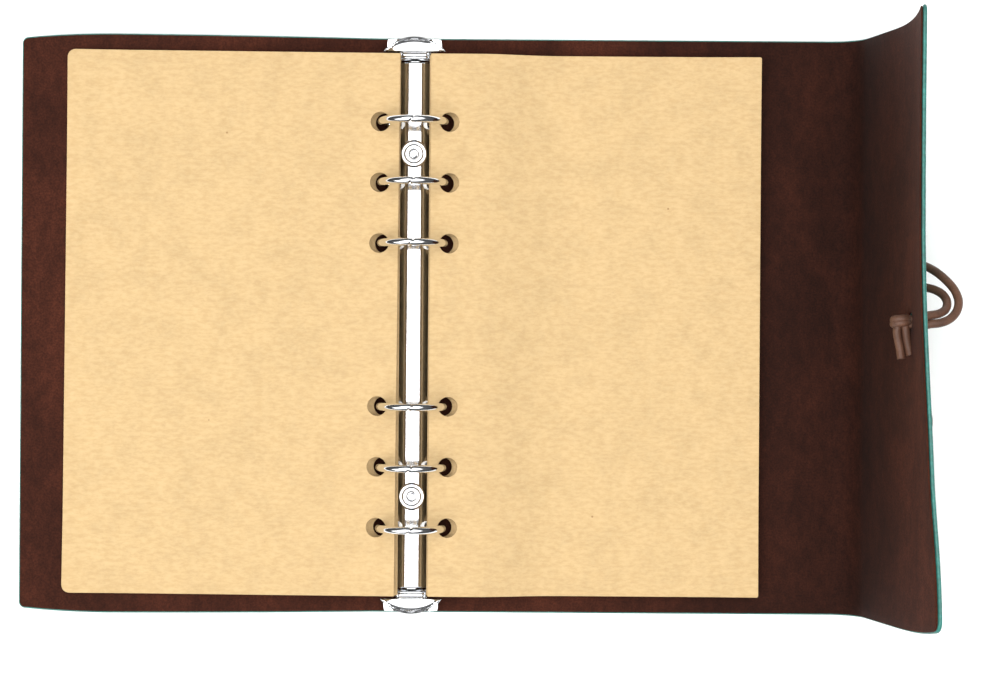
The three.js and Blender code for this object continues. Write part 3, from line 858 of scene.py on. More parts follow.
GUSSET_RADIUS = 11.7 * MM
GUSSET_TURN = math.radians(77)
GUSSET_FLAT = 19 * MM
GUSSET_GAP = 0.8 * MM
FLAP_GAP = 1.6 * MM
FLAP_LENGTH = 38 * MM
FLAP_CURL = math.radians(8)
FLAP_CORNER = 3 * MM
BACK_LINE = CoverLine(
    1,
    [
        (BACK_FOLD + GUSSET_GAP / 2, 0.0), (GUSSET_RADIUS * GUSSET_TURN, GUSSET_TURN),
        (GUSSET_FLAT + FLAP_GAP / 2, 0.0), (FLAP_LENGTH - FLAP_GAP / 2, FLAP_CURL),
    ],
)
FLAP_FOLD = BACK_FOLD + GUSSET_GAP / 2 + GUSSET_RADIUS * GUSSET_TURN + GUSSET_FLAT
HOLE_FROM_TIP = 18 * MM
HOLE_RADIUS = 2.4 * MM
HOLE_ROW = 1.5 * MM
HOLE_ALONG = BACK_LINE.length - HOLE_FROM_TIP
HOLE = BACK_LINE.place(HOLE_ALONG, HOLE_ROW, 0.0)
SEAT = BACK_LINE.place(HOLE_ALONG, HOLE_ROW, COVER_TOP + 0.3 * MM)


def leather_place(line, folds):
    """Places a point of the cover, with slow waves that die out at the folds."""
    settings = cover()

    def place(along, y, depth):
        calm = ease(min(abs(along - fold) - settings.fold_reach for fold in folds) / (12 * MM))
        wave = noise.noise(Vector((along / (34 * MM), y / (40 * MM), 3.7 * line.side)))
        point = line.place(along, y, depth + settings.ripple * calm * wave)
        if line is BACK_LINE and along > FLAP_FOLD:
            share = (along - FLAP_FOLD) / (line.length - FLAP_FOLD)
            lean = settings.flap_lean * ease((y - settings.lean_start) / settings.lean_run)
            flare = settings.flap_flare * ease(-(y + COVER_HALF / 2) / (COVER_HALF / 2))
            point.x += share**2 * (flare - lean)
            point.y += settings.flap_skew * share**3
        return point

    return place


# ---- The operators -----------------------------------------------------------------------------


class ALBUM_OT_stage(bpy.types.Operator):
    """Make the camera, the floor and the soft studio light"""

    bl_idname = "album.stage"
    bl_label = "Stage"

    def execute(self, context):
        settings = context.scene.album_stage
        lens = bpy.data.cameras.new("camera")
        lens.lens = settings.lens
        lens.sensor_width = 36.0
        camera = bpy.data.objects.new("camera", lens)
        camera.location = (25.2 * MM, -7.35 * MM, settings.height)
        camera.rotation_euler = (0.0, 0.0, settings.turn)
        context.scene.collection.objects.link(camera)
        context.scene.camera = camera

        bm = bmesh.new()
        reach = 8.0
        steps = 8
        for i in range(steps + 1):
            for j in range(steps + 1):
                bm.verts.new((reach * (2 * i / steps - 1), reach * (2 * j / steps - 1), -0.2 * MM))
        bm.verts.ensure_lookup_table()
        for i in range(steps):
            for j in range(steps):
                corner = i * (steps + 1) + j
                ring = (corner, corner + steps + 1, corner + steps + 2, corner + 1)
                bm.faces.new([bm.verts[k] for k in ring])
        floor = piece_from("floor", bm)
        floor.data.materials.append(finish_of("floor"))

        self.light("key_light", (-0.7, -0.5, 0.9), 0.9, settings.key_power)

        world = bpy.data.worlds.new("studio")
        context.scene.world = world
        world.use_nodes = True
        tree = world.node_tree
        tree.nodes.clear()
        # The walls of the studio are greyer than its ceiling, which gives the chrome its dark bands.
        direction = add(tree, "ShaderNodeTexCoord")
        height = add(
            tree, "ShaderNodeSeparateXYZ", links={"Vector": direction.outputs["Generated"]}
        )
        grey = add(
            tree, "ShaderNodeValToRGB", links={"Fac": height.outputs["Z"]},
            stops=[
                (0.0, (0.01, 0.01, 0.01, 1)), (0.74, (0.03, 0.03, 0.03, 1)), (0.93, (1, 1, 1, 1))
            ],
        ).outputs["Color"]
        sky = add(tree, "ShaderNodeBackground", values={"Strength": 4.7}, links={"Color": grey})
        add(tree, "ShaderNodeOutputWorld", links={"Surface": sky.outputs["Background"]})
        context.scene.view_settings.view_transform = "Standard"
        return {"FINISHED"}

    @staticmethod
    def light(name, place, size, power):
        """A square soft light aimed at the middle of the album."""
        data = bpy.data.lights.new(name, "AREA")
        data.shape = "SQUARE"
        data.size = size
        data.energy = power
        lamp = bpy.data.objects.new(name, data)
        lamp.location = place
        target = Vector((20 * MM, 0.0, 0.0))
        lamp.rotation_euler = (target - Vector(place)).to_track_quat("-Z", "Y").to_euler()
        bpy.context.scene.collection.objects.link(lamp)


# The route of the lace's two strands from the hole, out in a loop and down behind the flap into the
# end of the hank. Each point is measured from the hole, in millimetres.
LACE_RADIUS = 1.3
LACE_FLOOR = LACE_RADIUS + 0.15 - HOLE.z / MM
HANK_SHIFT = 2.8
HANK_LANE = 8.0
HANK_RISE = 9.23
HANK_START = -24.1
STRAND_A = [
    (0.8, -1.35, 0), (3.2, -0.6, -0.1), (6.5, -0.2, -0.6), (9.6, 1, -1.8), (12, 3.4, -3.6),
    (13, 6.4, -5.8), (12.4, 9.6, -8.4), (10.6, 12.6, -11.4), (8.2, 15.4, -15.4), (6, 17.4, -21),
    (5, 18.2, -28), (5.6, 17.4, LACE_FLOOR + 8.5), (7.4, 14.2, LACE_FLOOR + 2.6),
    (8.9, 8, LACE_FLOOR + 0.2), (9.6, 0, LACE_FLOOR),
    (HANK_SHIFT + HANK_LANE - 0.4, -10, LACE_FLOOR), (HANK_SHIFT + HANK_LANE, -17, LACE_FLOOR),
    (HANK_SHIFT + HANK_LANE, HANK_START, LACE_FLOOR),
]
STRAND_B = [
    (0.8, 1.35, 0), (3.2, 2, -0.7), (6.2, 2.5, -2), (8.7, 3.8, -4.2), (9.8, 6, -6.9),
    (9.3, 8.2, -9.7), (7.6, 9.8, -12.8), (5.4, 10.7, -17), (3.6, 10.6, -22.5), (2, 8.4, -28),
    (0.4, 3.4, -32.5), (-1.2, -3.6, -35.6), (-3.2, -12, LACE_FLOOR + HANK_RISE + 0.5),
    (HANK_SHIFT - HANK_LANE, -18.6, LACE_FLOOR + HANK_RISE),
    (HANK_SHIFT - HANK_LANE, HANK_START, LACE_FLOOR + HANK_RISE),
]
HANK_RUN = 21.7
HANK_MIDDLE = -51 - HOLE_ROW / MM
HANK_WAIST = 1.6


def hank_route(turns):
    """The lace's turns in the hank: round at both ends and drawn in at the tied waist."""
    run_steps = 10
    lobe_steps = 10
    lap = []
    for i in range(run_steps):
        y = HANK_RUN * (1 - 2 * i / run_steps)
        lap.append((HANK_WAIST + (HANK_LANE - HANK_WAIST) * ease(abs(y) / HANK_RUN), y))
    for i in range(lobe_steps):
        turn = math.pi * i / lobe_steps
        lap.append((HANK_LANE * math.cos(turn), -HANK_RUN - HANK_LANE * math.sin(turn)))
    lap += [(-x, -y) for x, y in lap]
    places = lap * turns + lap[: 2 * run_steps + lobe_steps + 1]
    runs = [0.0]
    for (x0, y0), (x1, y1) in zip(places, places[1:]):
        runs.append(runs[-1] + math.hypot(x1 - x0, y1 - y0))
    return [
        Vector((HANK_SHIFT + x, HANK_MIDDLE + y, LACE_FLOOR + HANK_RISE * run / runs[-1]))
        for (x, y), run in zip(places, runs)
    ]


class ALBUM_OT_lace(bpy.types.Operator):
    """Make the leather lace, its hank and the keeper round the hank"""

    bl_idname = "album.lace"
    bl_label = "Lace"

    def execute(self, context):
        settings = context.scene.album_lace
        route = [Vector(point) for point in STRAND_A]
        route += hank_route(settings.turns)
        route += [Vector(point) for point in reversed(STRAND_B)]
        places = [HOLE + point * MM for point in route]
        line = smooth_route(places, 5)
        lace = cord_curve("leather_lace", [line], settings.thickness / 2)
        dress(lace, "thong_leather", ["thong_strand_a", "thong_strand_b", "thong_hank"])
        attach(lace, "flap")

        keeper = self.keeper()
        dress(keeper, "thong_leather", ["thong_keeper"])
        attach(keeper, "flap")
        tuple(line[0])
        return {"FINISHED"}

    @staticmethod
    def keeper():
        """A band of the same leather, lapped round the waist of the hank."""
        low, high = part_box("thong_keeper")
        wall = 1.0 * MM
        corner = 2.2 * MM
        middle = (low + high) / 2
        half = (high.x - low.x) / 2 - wall / 2
        rise = (high.z - low.z) / 2 - wall / 2
        path = []
        for quarter in range(4):
            turn = math.pi / 2 * quarter
            across = (half - corner) * (1 if quarter in (0, 3) else -1)
            upward = (rise - corner) * (1 if quarter in (0, 1) else -1)
            for i in range(7):
                angle = turn + math.pi / 2 * i / 6
                outward = Vector((math.cos(angle), 0, math.sin(angle)))
                path.append((Vector((across, 0, upward)) + outward * corner, outward))
        width = (high.y - low.y) / 2
        section = []
        for i in range(16):
            turn = 2 * math.pi * (i + 0.5) / 16
            across = math.copysign(abs(math.cos(turn)) ** 0.35, math.cos(turn))
            out = math.copysign(abs(math.sin(turn)) ** 0.6, math.sin(turn))
            section.append((width * across, wall / 2 * out))
        bm = bmesh.new()
        rings = []
        for i, (centre, outward) in enumerate(path):
            sway = 0.25 * MM * math.sin(2 * math.pi * i / len(path))
            ring = []
            for across, out in section:
                place = middle + centre + outward * out + Vector((0, across * 0.94 + sway, 0))
                ring.append(bm.verts.new(place))
            rings.append(ring)
        for i, ring in enumerate(rings):
            bridge(bm, ring, rings[(i + 1) % len(rings)])
        return piece_from("hank_keeper", bm)


class ALBUM_OT_knot(bpy.types.Operator):
    """Make the lace's knot inside the flap, with its neck and its two cut ends"""

    bl_idname = "album.knot"
    bl_label = "Knot"

    def execute(self, context):
        radius = context.scene.album_lace.thickness / 2
        low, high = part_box("thong_knot")
        centre = Vector(((low.x + SEAT.x) / 2 - 0.1 * MM, HOLE_ROW, SEAT.z))
        reach = (SEAT.x - low.x) / 2 - radius * 0.92
        lines = []
        wrap = []
        steps = 44
        for i in range(steps + 1):
            share = i / steps
            turn = 2 * math.pi * 1.85 * share + 0.6
            wrap.append(
                centre + Vector(
                    (
                        reach * 1.02 * math.cos(turn), (1.15 - 2.3 * share) * MM,
                        1.55 * MM * math.sin(turn),
                    )
                )
            )
        lines.append(wrap)
        for place, node in enumerate(("thong_end_a", "thong_end_b")):
            end_low, end_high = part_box(node)
            x = (end_low.x + end_high.x) / 2
            tip = end_low.y - (place - 0.5) * 1.1 * MM
            tail = [
                Vector((centre.x + (x - centre.x) * 0.5, HOLE_ROW + 0.4 * MM, SEAT.z + 0.4 * MM)),
                Vector((x - 0.3 * MM, HOLE_ROW - 2.4 * MM, SEAT.z + 0.5 * MM)),
                Vector((x + 0.2 * MM, HOLE_ROW - 5.4 * MM, SEAT.z - 0.1 * MM)),
                Vector((x + 0.8 * MM, HOLE_ROW - 8.0 * MM, SEAT.z - 0.3 * MM)),
                Vector((x + 1.1 * MM, tip, SEAT.z)),
            ]
            lines.append(smooth_route(tail, 6))
        for side in (1, -1):
            row = HOLE_ROW
            neck = [
                centre + Vector((0.2 * MM, side * 0.6 * MM, 0.0)),
                Vector((SEAT.x + 0.4 * MM, row + side * 0.9 * MM, SEAT.z)),
                Vector((HOLE.x - 0.4 * MM, row + side * 1.15 * MM, HOLE.z)),
                Vector((HOLE.x + 0.8 * MM, row + side * 1.35 * MM, HOLE.z)),
                Vector((HOLE.x + 1.6 * MM, row + side * 1.5 * MM, HOLE.z - 0.1 * MM)),
            ]
            lines.append(smooth_route(neck, 5))
        knot = cord_curve("lace_knot", lines, radius * 0.94)
        dress(knot, "thong_leather", ["thong_knot", "thong_end_a", "thong_end_b"])
        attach(knot, "flap")
        return {"FINISHED"}


def cover_panels():
    """Each panel's name, its line, its two ends, its shape at the free end and its body."""
    reach = cover().fold_reach
    back = BACK_LINE.length
    front = FRONT_LINE.length
    return [
        ("front_cover", FRONT_LINE, SPINE_HALF + reach, front, FRONT_CORNER, FRONT_TAPER),
        ("back_cover", BACK_LINE, SPINE_HALF + reach, BACK_FOLD - reach, 0.0, 0.0),
        ("gusset", BACK_LINE, BACK_FOLD + reach, FLAP_FOLD - reach, 0.0, 0.0),
        ("flap", BACK_LINE, FLAP_FOLD + reach, back, FLAP_CORNER, 0.0),
    ]


def layer_depths(layer):
    """The depths of the skin or the lining, and how far it stops short at free edges."""
    settings = cover()
    if layer == "outer":
        return 0.0, settings.skin, 0.0
    return settings.skin + settings.bond, COVER_TOP, settings.setback


LAYER_SLOTS = {"outer": "teal_leather", "lining": "suede_lining"}


class ALBUM_OT_cover(bpy.types.Operator):
    """Make the cover's panels, each a skin and a lining"""

    bl_idname = "album.cover"
    bl_label = "Cover panels"

    def execute(self, context):
        for layer in LAYER_SLOTS:
            self.spine(layer)
            for panel in cover_panels():
                self.panel(layer, *panel)
        return {"FINISHED"}

    @staticmethod
    def panel(layer, name, line, start, end, corner, taper):
        """One panel between two folds, or between a fold and its free edge."""
        near, far, setback = layer_depths(layer)
        free = corner > 0
        step = (3 * MM, 3 * MM) if line is FRONT_LINE or name == "back_cover" else (1.5 * MM, 3 * MM)
        outline = panel_outline(
            start, end - setback if free else end, COVER_HALF - setback, step,
            corner - setback if free else 0.0, taper, (True, not free),
        )
        holes = [round_hole(HOLE_ALONG, HOLE_ROW, HOLE_RADIUS)] if name == "flap" else []
        folds = [SPINE_HALF, BACK_FOLD, FLAP_FOLD] if line is BACK_LINE else [SPINE_HALF]
        bm = bmesh.new()
        rounding = (far - near) * 0.45
        plate(bm, outline, holes, step, leather_place(line, folds), near, far, rounding)
        piece = piece_from(f"{name}_{'skin' if layer == 'outer' else 'suede'}", bm)
        dress(piece, LAYER_SLOTS[layer], [f"{name}_{layer}"])
        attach(piece, name)

    @staticmethod
    def spine(layer):
        """The flat strip under the rings, with the holes for the two posts."""
        near, far, setback = layer_depths(layer)
        reach = SPINE_HALF - cover().fold_reach
        step = (3 * MM, 3 * MM)
        outline = panel_outline(-reach, reach, COVER_HALF - setback, step, joined=(True, True))
        radius = 4.5 * MM if layer == "outer" else 2.1 * MM
        holes = [round_hole(0.0, y, radius) for y in (POST_ROW, -POST_ROW)]
        bm = bmesh.new()
        rounding = (far - near) * 0.45
        plate(bm, outline, holes, step, lambda x, y, depth: Vector((x, y, depth)), near, far, rounding)
        piece = piece_from(f"spine_{'skin' if layer == 'outer' else 'suede'}", bm)
        dress(piece, LAYER_SLOTS[layer], [f"spine_{layer}"])
        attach(piece, "spine")


class ALBUM_OT_folds(bpy.types.Operator):
    """Make the curved strip of leather at each fold"""

    bl_idname = "album.folds"
    bl_label = "Folds"

    def execute(self, context):
        folds = [
            ("front_fold", FRONT_LINE, SPINE_HALF, "spine", "front_cover"),
            ("back_fold", BACK_LINE, SPINE_HALF, "spine", "back_cover"),
            ("gusset_fold", BACK_LINE, BACK_FOLD, "back_cover", "gusset"),
            ("flap_fold", BACK_LINE, FLAP_FOLD, "gusset", "flap"),
        ]
        reach = cover().fold_reach
        for layer, slot in LAYER_SLOTS.items():
            near, far, setback = layer_depths(layer)
            for name, line, fold, before, after in folds:
                step = (0.5 * MM, 3 * MM)
                outline = panel_outline(
                    fold - reach, fold + reach, COVER_HALF - setback, step, joined=(True, True)
                )
                place = leather_place(line, [SPINE_HALF, BACK_FOLD, FLAP_FOLD])
                bm = bmesh.new()
                plate(bm, outline, [], step, place, near, far, (far - near) * 0.45)
                piece = piece_from(f"{name}_{'skin' if layer == 'outer' else 'suede'}", bm)
                dress(piece, slot)
                start = line.place(fold - reach, 0.0, COVER_TOP / 2)
                end = line.place(fold + reach, 0.0, COVER_TOP / 2)
                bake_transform(piece)
        return {"FINISHED"}


LEAF_YAW = math.radians(-0.3)
RISE_NEAR = 20 * MM
RISE_FAR = 46 * MM


class ALBUM_OT_sheets(bpy.types.Operator):
    """Make the punched card sheets of both stacks"""

    bl_idname = "album.sheets"
    bl_label = "Card sheets"

    def execute(self, context):
        left = [f"left_sheet_{i + 1}" for i in range(7)] + ["turning_leaf"]
        right = [f"right_sheet_{i + 1}" for i in range(8)]
        for i, node in enumerate(left):
            body = "leaf" if node == "turning_leaf" else "left_stack"
            self.sheet(node, body, i / (len(left) - 1), -1)
        for i, node in enumerate(right):
            self.sheet(node, "right_stack", i / (len(right) - 1), 1)
        return {"FINISHED"}

    @staticmethod
    def sheet(node, body, share, side):
        """One sheet, at the height of its node, its holes set round the rings."""
        settings = bpy.context.scene.album_sheets
        rings = bpy.context.scene.album_rings
        low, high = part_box(node)
        thickness = settings.thickness
        base = high.z - thickness
        reach = math.sqrt(rings.radius**2 - (base + thickness / 2 - RING_CENTRE) ** 2)
        slack = settings.left_slack if side < 0 else settings.right_slack
        inner = reach + slack + settings.fan * share - settings.margin
        drop = 0.0 if side < 0 else high.z - low.z - thickness
        yaw = LEAF_YAW * share if side < 0 else 0.0
        half = settings.height / 2
        step = (3.5 * MM, 3.5 * MM)
        corner = settings.corner if side < 0 else 0.6 * MM
        outer = inner + settings.width
        top = share == 1
        edge = inner if top else inner + settings.covered

        def place(along, y, depth):
            calm = ease((along - 14 * MM) / (30 * MM))
            wave = noise.noise(Vector((along / (45 * MM), y / (50 * MM), 7.3 * side)))
            height = base + depth + settings.wave * calm * wave
            height -= drop * ease((along - RISE_NEAR) / (RISE_FAR - RISE_NEAR))
            if top:
                near_end = ease((along - outer + 28 * MM) / (28 * MM))
                near_edge = ease((abs(y) - half + 40 * MM) / (40 * MM))
                height += settings.lift * (near_end * near_edge) ** 2
                height += settings.wave * calm * 0.5 * (1 + wave)
            x = side * along
            turned_x = x * math.cos(yaw) - y * math.sin(yaw)
            turned_y = x * math.sin(yaw) + y * math.cos(yaw)
            return Vector((turned_x, turned_y, height))

        outline = panel_outline(edge, outer, half, step, corner)
        holes = [round_hole(inner + settings.margin, y, settings.punch) for y in RING_ROWS]
        bm = bmesh.new()
        plate(bm, outline, holes, step, place, 0.0, thickness, 0.1 * MM, arc=2)
        piece = piece_from(f"card_{node}", bm)
        dress(piece, "kraft_card", [node])
        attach(piece, body)


class ALBUM_OT_housing(bpy.types.Operator):
    """Make the arched housing, its posts and caps, and finish the rails"""

    bl_idname = "album.housing"
    bl_label = "Ring housing"

    def execute(self, context):
        housing = self.arch(context.scene.album_rings)
        cut(housing, self.openings(context.scene.album_rings))
        dress(housing, "chrome", ["ring_housing"])
        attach(housing, "spine")
        for word, side in (("top", 1), ("bottom", -1)):
            self.post(word, side * POST_ROW)
            self.cap(word, side * POST_ROW)
        for word in ("left", "right"):
            rail = frame["nodes"][f"rail_{word}"]
            rail.data.materials.clear()
            rail.data.materials.append(finish_of("steel"))
            softened = rail.modifiers.new("rolled_edge", "BEVEL")
            softened.width = 0.12 * MM
            softened.segments = 2
            softened.limit_method = "ANGLE"
        return {"FINISHED"}

    @staticmethod
    def arch(settings):
        """A pressed strip, arched across and turned in at its two ends."""
        half = HOUSING_HIGH.x
        leg = 0.5 * MM
        rise = HOUSING_HIGH.z - HOUSING_LOW.z - leg
        radius = (half**2 + rise**2) / (2 * rise)
        centre = HOUSING_HIGH.z - radius
        steps = 26
        bm = bmesh.new()
        rings = []
        length_half = HOUSING_HIGH.y
        stations = [-length_half + length_half * 2 * i / 120 for i in range(121)]
        ends = (0.0, 0.15 * MM, 0.45 * MM)
        stations = (
            [-length_half + e for e in ends]
            + [y for y in stations if abs(y) < length_half - 0.8 * MM]
            + [length_half - e for e in reversed(ends)]
        )
        for y in stations:
            from_end = length_half - abs(y)
            turned = 0.3 * MM * (1 - ease(from_end / (0.45 * MM)))
            loop = []
            for depth, order in ((turned, 1), (settings.wall, -1)):
                reach = math.asin((half - depth) / (radius - depth * 0.3))
                arc = [reach * (1 - 2 * i / steps) * order for i in range(steps + 1)]
                r = radius - depth
                side = half - depth
                foot = (side if order > 0 else -side, HOUSING_LOW.z)
                back = (-foot[0], HOUSING_LOW.z)
                loop.append(foot)
                loop += [
                    (max(-side, min(side, r * math.sin(turn))), centre + r * math.cos(turn))
                    for turn in arc
                ]
                loop.append(back)
            rings.append([bm.verts.new((x, y, z)) for x, z in loop])
        for first, second in zip(rings, rings[1:]):
            bridge(bm, first, second)
        for ring in (rings[0], rings[-1]):
            half_loop = len(ring) // 2
            for i in range(half_loop - 1):
                bm.faces.new((ring[i], ring[i + 1], ring[-2 - i], ring[-1 - i]))
        return piece_from("arched_housing", bm)

    @staticmethod
    def openings(settings):
        """The notches for the ring wires, and the holes for the posts and the lever pins."""
        bm = bmesh.new()
        half = HOUSING_HIGH.x
        foot = settings.radius * math.sin(settings.sweep)
        inner = foot - settings.wire - 0.6 * MM
        slot = settings.wire + 0.4 * MM
        for y in RING_ROWS:
            for side in (1, -1):
                outline = [(side * (half + 1 * MM), y + slot), (side * (half + 1 * MM), y - slot)]
                for i in range(9):
                    turn = -math.pi / 2 - math.pi * i / 8
                    along = inner + slot + slot * math.cos(turn)
                    outline.append((side * along, y + slot * math.sin(turn)))
                prism(bm, outline, HOUSING_LOW.z - 1 * MM, 9 * MM)
        for y in (POST_ROW, -POST_ROW):
            prism(bm, round_hole(0.0, y, 2.1 * MM)(0.0), 0.0, 9 * MM)
        for y in (PIN_ROW, -PIN_ROW):
            rim = round_hole(y, PIN_RISE, 0.7 * MM, 16)(0.0)
            prism(bm, rim, -half - 1 * MM, half + 1 * MM, axis=0)
        return bm

    @staticmethod
    def post(word, y):
        """A hollow rivet whose head is turned in rings."""
        low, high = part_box(f"post_{word}")
        top = high.z
        outer = (high.y - low.y) / 2
        profile = [
            (1.25 * MM, low.z), (1.8 * MM, low.z), (1.8 * MM, top - 0.7 * MM),
            (outer - 0.15 * MM, top - 0.7 * MM), (outer, top - 0.58 * MM), (outer, top - 0.42 * MM),
            (outer - 0.16 * MM, top - 0.25 * MM), (outer - 0.5 * MM, top - 0.02 * MM),
            (3.6 * MM, top - 0.24 * MM), (3.4 * MM, top - 0.52 * MM), (3.2 * MM, top - 0.24 * MM),
            (2.85 * MM, top - 0.02 * MM), (2.5 * MM, top - 0.22 * MM), (2.3 * MM, top - 0.54 * MM),
            (2.1 * MM, top - 0.22 * MM), (1.8 * MM, top), (1.5 * MM, top - 0.06 * MM),
            (1.3 * MM, top - 0.3 * MM), (1.25 * MM, top - 0.7 * MM),
        ]
        bm = bmesh.new()
        lathe(bm, profile, upright(0.0, y), 64)
        piece = piece_from(f"ringed_post_{word}", bm)
        dress(piece, "chrome", [f"post_{word}"])
        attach(piece, "spine")

    @staticmethod
    def cap(word, y):
        """The cap under the spine, with a hollow stem that is driven up into the post."""
        low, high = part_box(f"post_cap_{word}")
        stem_top = high.z - 1.8 * MM
        outer = (high.y - low.y) / 2
        profile = [
            (0.0, low.z), (outer - 0.5 * MM, low.z), (outer - 0.12 * MM, low.z + 0.12 * MM),
            (outer, low.z + 0.3 * MM), (outer, low.z + 0.5 * MM), (0.85 * MM, low.z + 0.5 * MM),
            (0.85 * MM, stem_top - 0.15 * MM), (0.75 * MM, stem_top),
            (0.62 * MM, stem_top - 0.1 * MM), (0.55 * MM, low.z + 1.0 * MM),
            (0.0, low.z + 0.9 * MM),
        ]
        bm = bmesh.new()
        lathe(bm, profile, upright(0.0, y), 48)
        piece = piece_from(f"pressed_cap_{word}", bm)
        dress(piece, "chrome", [f"post_cap_{word}"])
        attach(piece, "spine")


class ALBUM_OT_rings(bpy.types.Operator):
    """Make the twelve half rings with their stepped joints"""

    bl_idname = "album.rings"
    bl_label = "Rings"

    def execute(self, context):
        settings = context.scene.album_rings
        for word, side in (("left", -1), ("right", 1)):
            for i in range(6):
                low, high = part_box(f"half_ring_{word}_{i + 1}")
                self.half_ring(settings, word, side, i + 1, (low.y + high.y) / 2, low.z)
        return {"FINISHED"}

    @staticmethod
    def half_ring(settings, word, side, number, row, seat):
        """A bent wire from the joint at the top of the ring to its seat on the rail."""
        sides = 20
        steps = 40
        first = settings.joint_gap / 2 / settings.radius
        last = settings.sweep
        step = settings.joint_step / settings.radius
        start = first + step + 0.4 * MM / settings.radius
        stations = [(first, 0.84, step), (first + 0.012, 0.97, step), (first + 0.022, 1.0, step)]
        stations += [(start + (last - start) * i / steps, 1.0, 0.0) for i in range(steps + 1)]
        bm = bmesh.new()
        rings = []
        for turn, width, offset in stations:
            ring = []
            for j in range(sides):
                angle = 2 * math.pi * (j + 0.5) / sides
                lean = turn + side * offset * math.copysign(1, math.sin(angle))
                out = settings.radius + settings.wire * width * math.cos(angle)
                x = side * out * math.sin(lean)
                z = RING_CENTRE + out * math.cos(lean)
                y = row + settings.wire * width * math.sin(angle)
                ring.append(bm.verts.new((x, y, max(z, seat))))
            rings.append(ring)
        for before, after in zip(rings, rings[1:]):
            bridge(bm, before, after)
        bm.faces.new(list(reversed(rings[0])))
        bm.faces.new(rings[-1])
        piece = piece_from(f"ring_wire_{word}_{number}", bm, math.radians(35))
        dress(piece, "chrome", [f"half_ring_{word}_{number}"])
        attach(piece, f"rings_{word}")


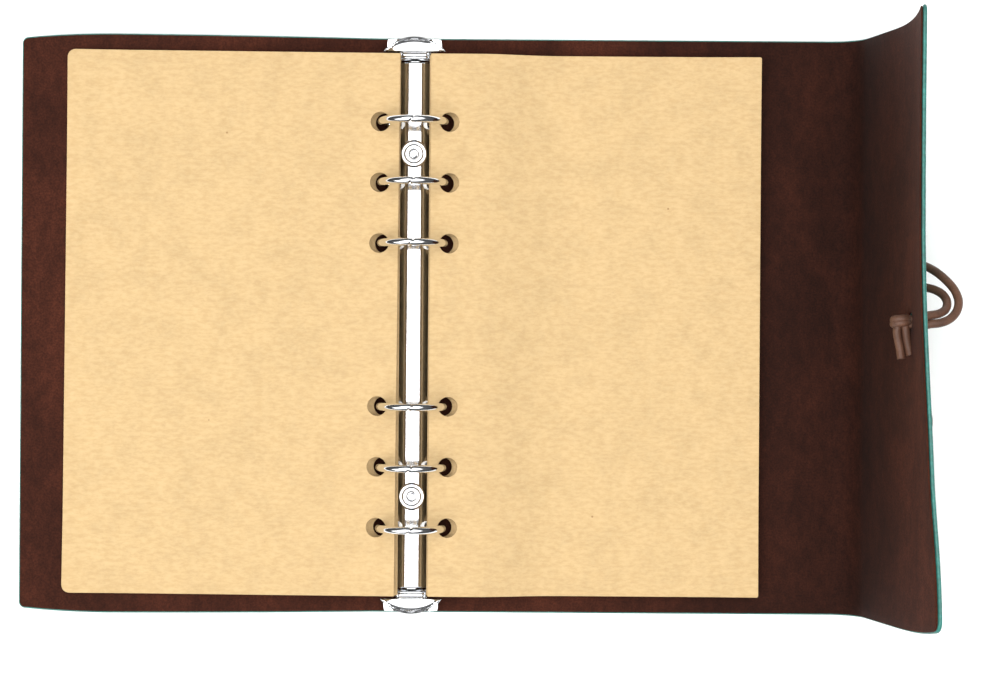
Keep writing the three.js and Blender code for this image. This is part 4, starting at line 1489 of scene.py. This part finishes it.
class ALBUM_OT_levers(bpy.types.Operator):
    """Make the two thumb levers and their pins"""

    bl_idname = "album.levers"
    bl_label = "Levers"

    def execute(self, context):
        for word, end in (("top", 1), ("bottom", -1)):
            self.lever(context.scene.album_rings, word, end)
            self.pin(word, end)
        return {"FINISHED"}

    @staticmethod
    def lever(settings, word, end):
        """A dished, boat-shaped wing on a ribbed neck, with a tongue that lies under the housing."""
        bm = bmesh.new()
        wing_start = HOUSING_HIGH.y + 3.2 * MM
        wing_base = HOUSING_LOW.z + 2.4 * MM
        chord = settings.wing_width / 2
        depth = settings.wing_depth
        radius = (chord**2 + depth**2) / (2 * depth)
        centre = wing_start + depth - radius

        def wing_outline(inset):
            arc = radius - inset
            foot = wing_start + inset
            reach = math.acos((foot - centre) / arc)
            turns = [reach - 2 * reach * i / 40 for i in range(41)]
            loop = [(arc * math.sin(turn), centre + arc * math.cos(turn)) for turn in turns]
            end_x = loop[-1][0]
            loop += [(end_x * (1 - 2 * i / 24), foot) for i in range(1, 24)]
            return loop

        def wing_place(x, y, height):
            from_rim = radius - math.hypot(x, y - centre)
            dish = 0.7 * MM * (x / chord) ** 2 + 1.2 * MM * ((y - wing_start) / depth) ** 2
            rolled = 0.45 * MM * math.exp(-((from_rim / (0.9 * MM)) ** 2))
            return Vector((x, end * y, wing_base + height + dish + rolled))

        plate(bm, wing_outline, [], (0.6 * MM, 0.6 * MM), wing_place, 0.0, 0.9 * MM, 0.42 * MM, 6)

        neck_start = HOUSING_HIGH.y + 0.3 * MM
        neck_end = wing_start + 1.2 * MM
        ridge = 1.15 * MM

        def neck_outline(inset):
            loop = []
            rows = 14
            for side, order in ((1, 1), (-1, -1)):
                for i in range(rows + 1):
                    share = i / rows if order > 0 else 1 - i / rows
                    y = neck_start + inset + (neck_end - neck_start - 2 * inset) * share
                    half = 5.2 * MM - 0.9 * MM * math.sin(math.pi * share) - inset
                    loop.append((side * half, y))
            return loop

        def neck_place(x, y, height):
            along = (y - neck_start) / ridge
            rib = 0.38 * MM * math.sin(math.pi * along) ** 2 if height > 0.6 * MM else 0.0
            if along > 3:
                rib = 0.0
            crown = 0.35 * MM * (1 - (x / (5.2 * MM)) ** 2)
            return Vector((x, end * y, wing_base - 0.9 * MM + height + rib + crown))

        plate(bm, neck_outline, [], (0.7 * MM, 0.25 * MM), neck_place, 0.0, 1.15 * MM, 0.35 * MM)

        tongue_end = 77 * MM
        tongue_half = 1.8 * MM

        def tongue_place(y, x, height):
            lift = 0.2 * MM * ease((y - PIN_ROW) / (3 * MM))
            return Vector((x, end * y, PIN_RISE - 0.3 * MM + height + lift))

        step = (1 * MM, 1 * MM)
        tongue = panel_outline(tongue_end, wing_start, tongue_half, step)
        plate(bm, tongue, [], step, tongue_place, 0.0, 0.8 * MM, 0.2 * MM)
        bore = 0.62 * MM
        profile = [
            (bore, -tongue_half), (bore + 0.38 * MM, -tongue_half),
            (bore + 0.48 * MM, -tongue_half + 0.1 * MM), (bore + 0.48 * MM, tongue_half - 0.1 * MM),
            (bore + 0.38 * MM, tongue_half), (bore, tongue_half),
        ]
        lathe(bm, profile, crosswise(end * PIN_ROW, PIN_RISE), 24)
        piece = piece_from(f"thumb_lever_{word}", bm)
        dress(piece, "chrome", [f"lever_{word}"])
        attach(piece, f"{word}_lever")

    @staticmethod
    def pin(word, end):
        """A headed pin through the housing and the lever's eye."""
        low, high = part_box(f"lever_pin_{word}")
        radius = (high.z - low.z) / 2
        dome = 0.15 * MM
        profile = [
            (0.0, low.x), (radius * 0.6, low.x + dome * 0.3), (radius, low.x + dome),
            (radius, high.x - dome), (radius * 0.6, high.x - dome * 0.3), (0.0, high.x),
        ]
        bm = bmesh.new()
        lathe(bm, profile, crosswise(end * PIN_ROW, PIN_RISE), 20)
        piece = piece_from(f"hinge_pin_{word}", bm)
        dress(piece, "steel", [f"lever_pin_{word}"])
        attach(piece, "spine")


OPERATORS = (
    ALBUM_OT_stage, ALBUM_OT_lace, ALBUM_OT_knot, ALBUM_OT_cover, ALBUM_OT_folds, ALBUM_OT_sheets,
    ALBUM_OT_housing, ALBUM_OT_rings, ALBUM_OT_levers,
)


class ALBUM_PT_build(bpy.types.Panel):
    """Lists the album's pieces in the sidebar"""

    bl_idname = "ALBUM_PT_build"
    bl_label = "Album"
    bl_space_type = "VIEW_3D"
    bl_region_type = "UI"
    bl_category = "Album"

    def draw(self, context):
        for operator in OPERATORS:
            self.layout.operator(operator.bl_idname)


SETTINGS = {
    "album_cover": CoverSettings, "album_sheets": SheetSettings, "album_rings": RingSettings,
    "album_lace": LaceSettings, "album_stage": StageSettings,
}
CLASSES = (*SETTINGS.values(), *OPERATORS, ALBUM_PT_build)


def register():
    for cls in CLASSES:
        bpy.utils.register_class(cls)
    for name, cls in SETTINGS.items():
        setattr(bpy.types.Scene, name, PointerProperty(type=cls))


def unregister():
    for name in SETTINGS:
        delattr(bpy.types.Scene, name)
    for cls in reversed(CLASSES):
        bpy.utils.unregister_class(cls)


def main():
    """Makes every piece in order."""
    register()
    for operator in OPERATORS:
        group, name = operator.bl_idname.split(".")
        getattr(getattr(bpy.ops, group), name)()


if __name__ == "__main__":
    main()
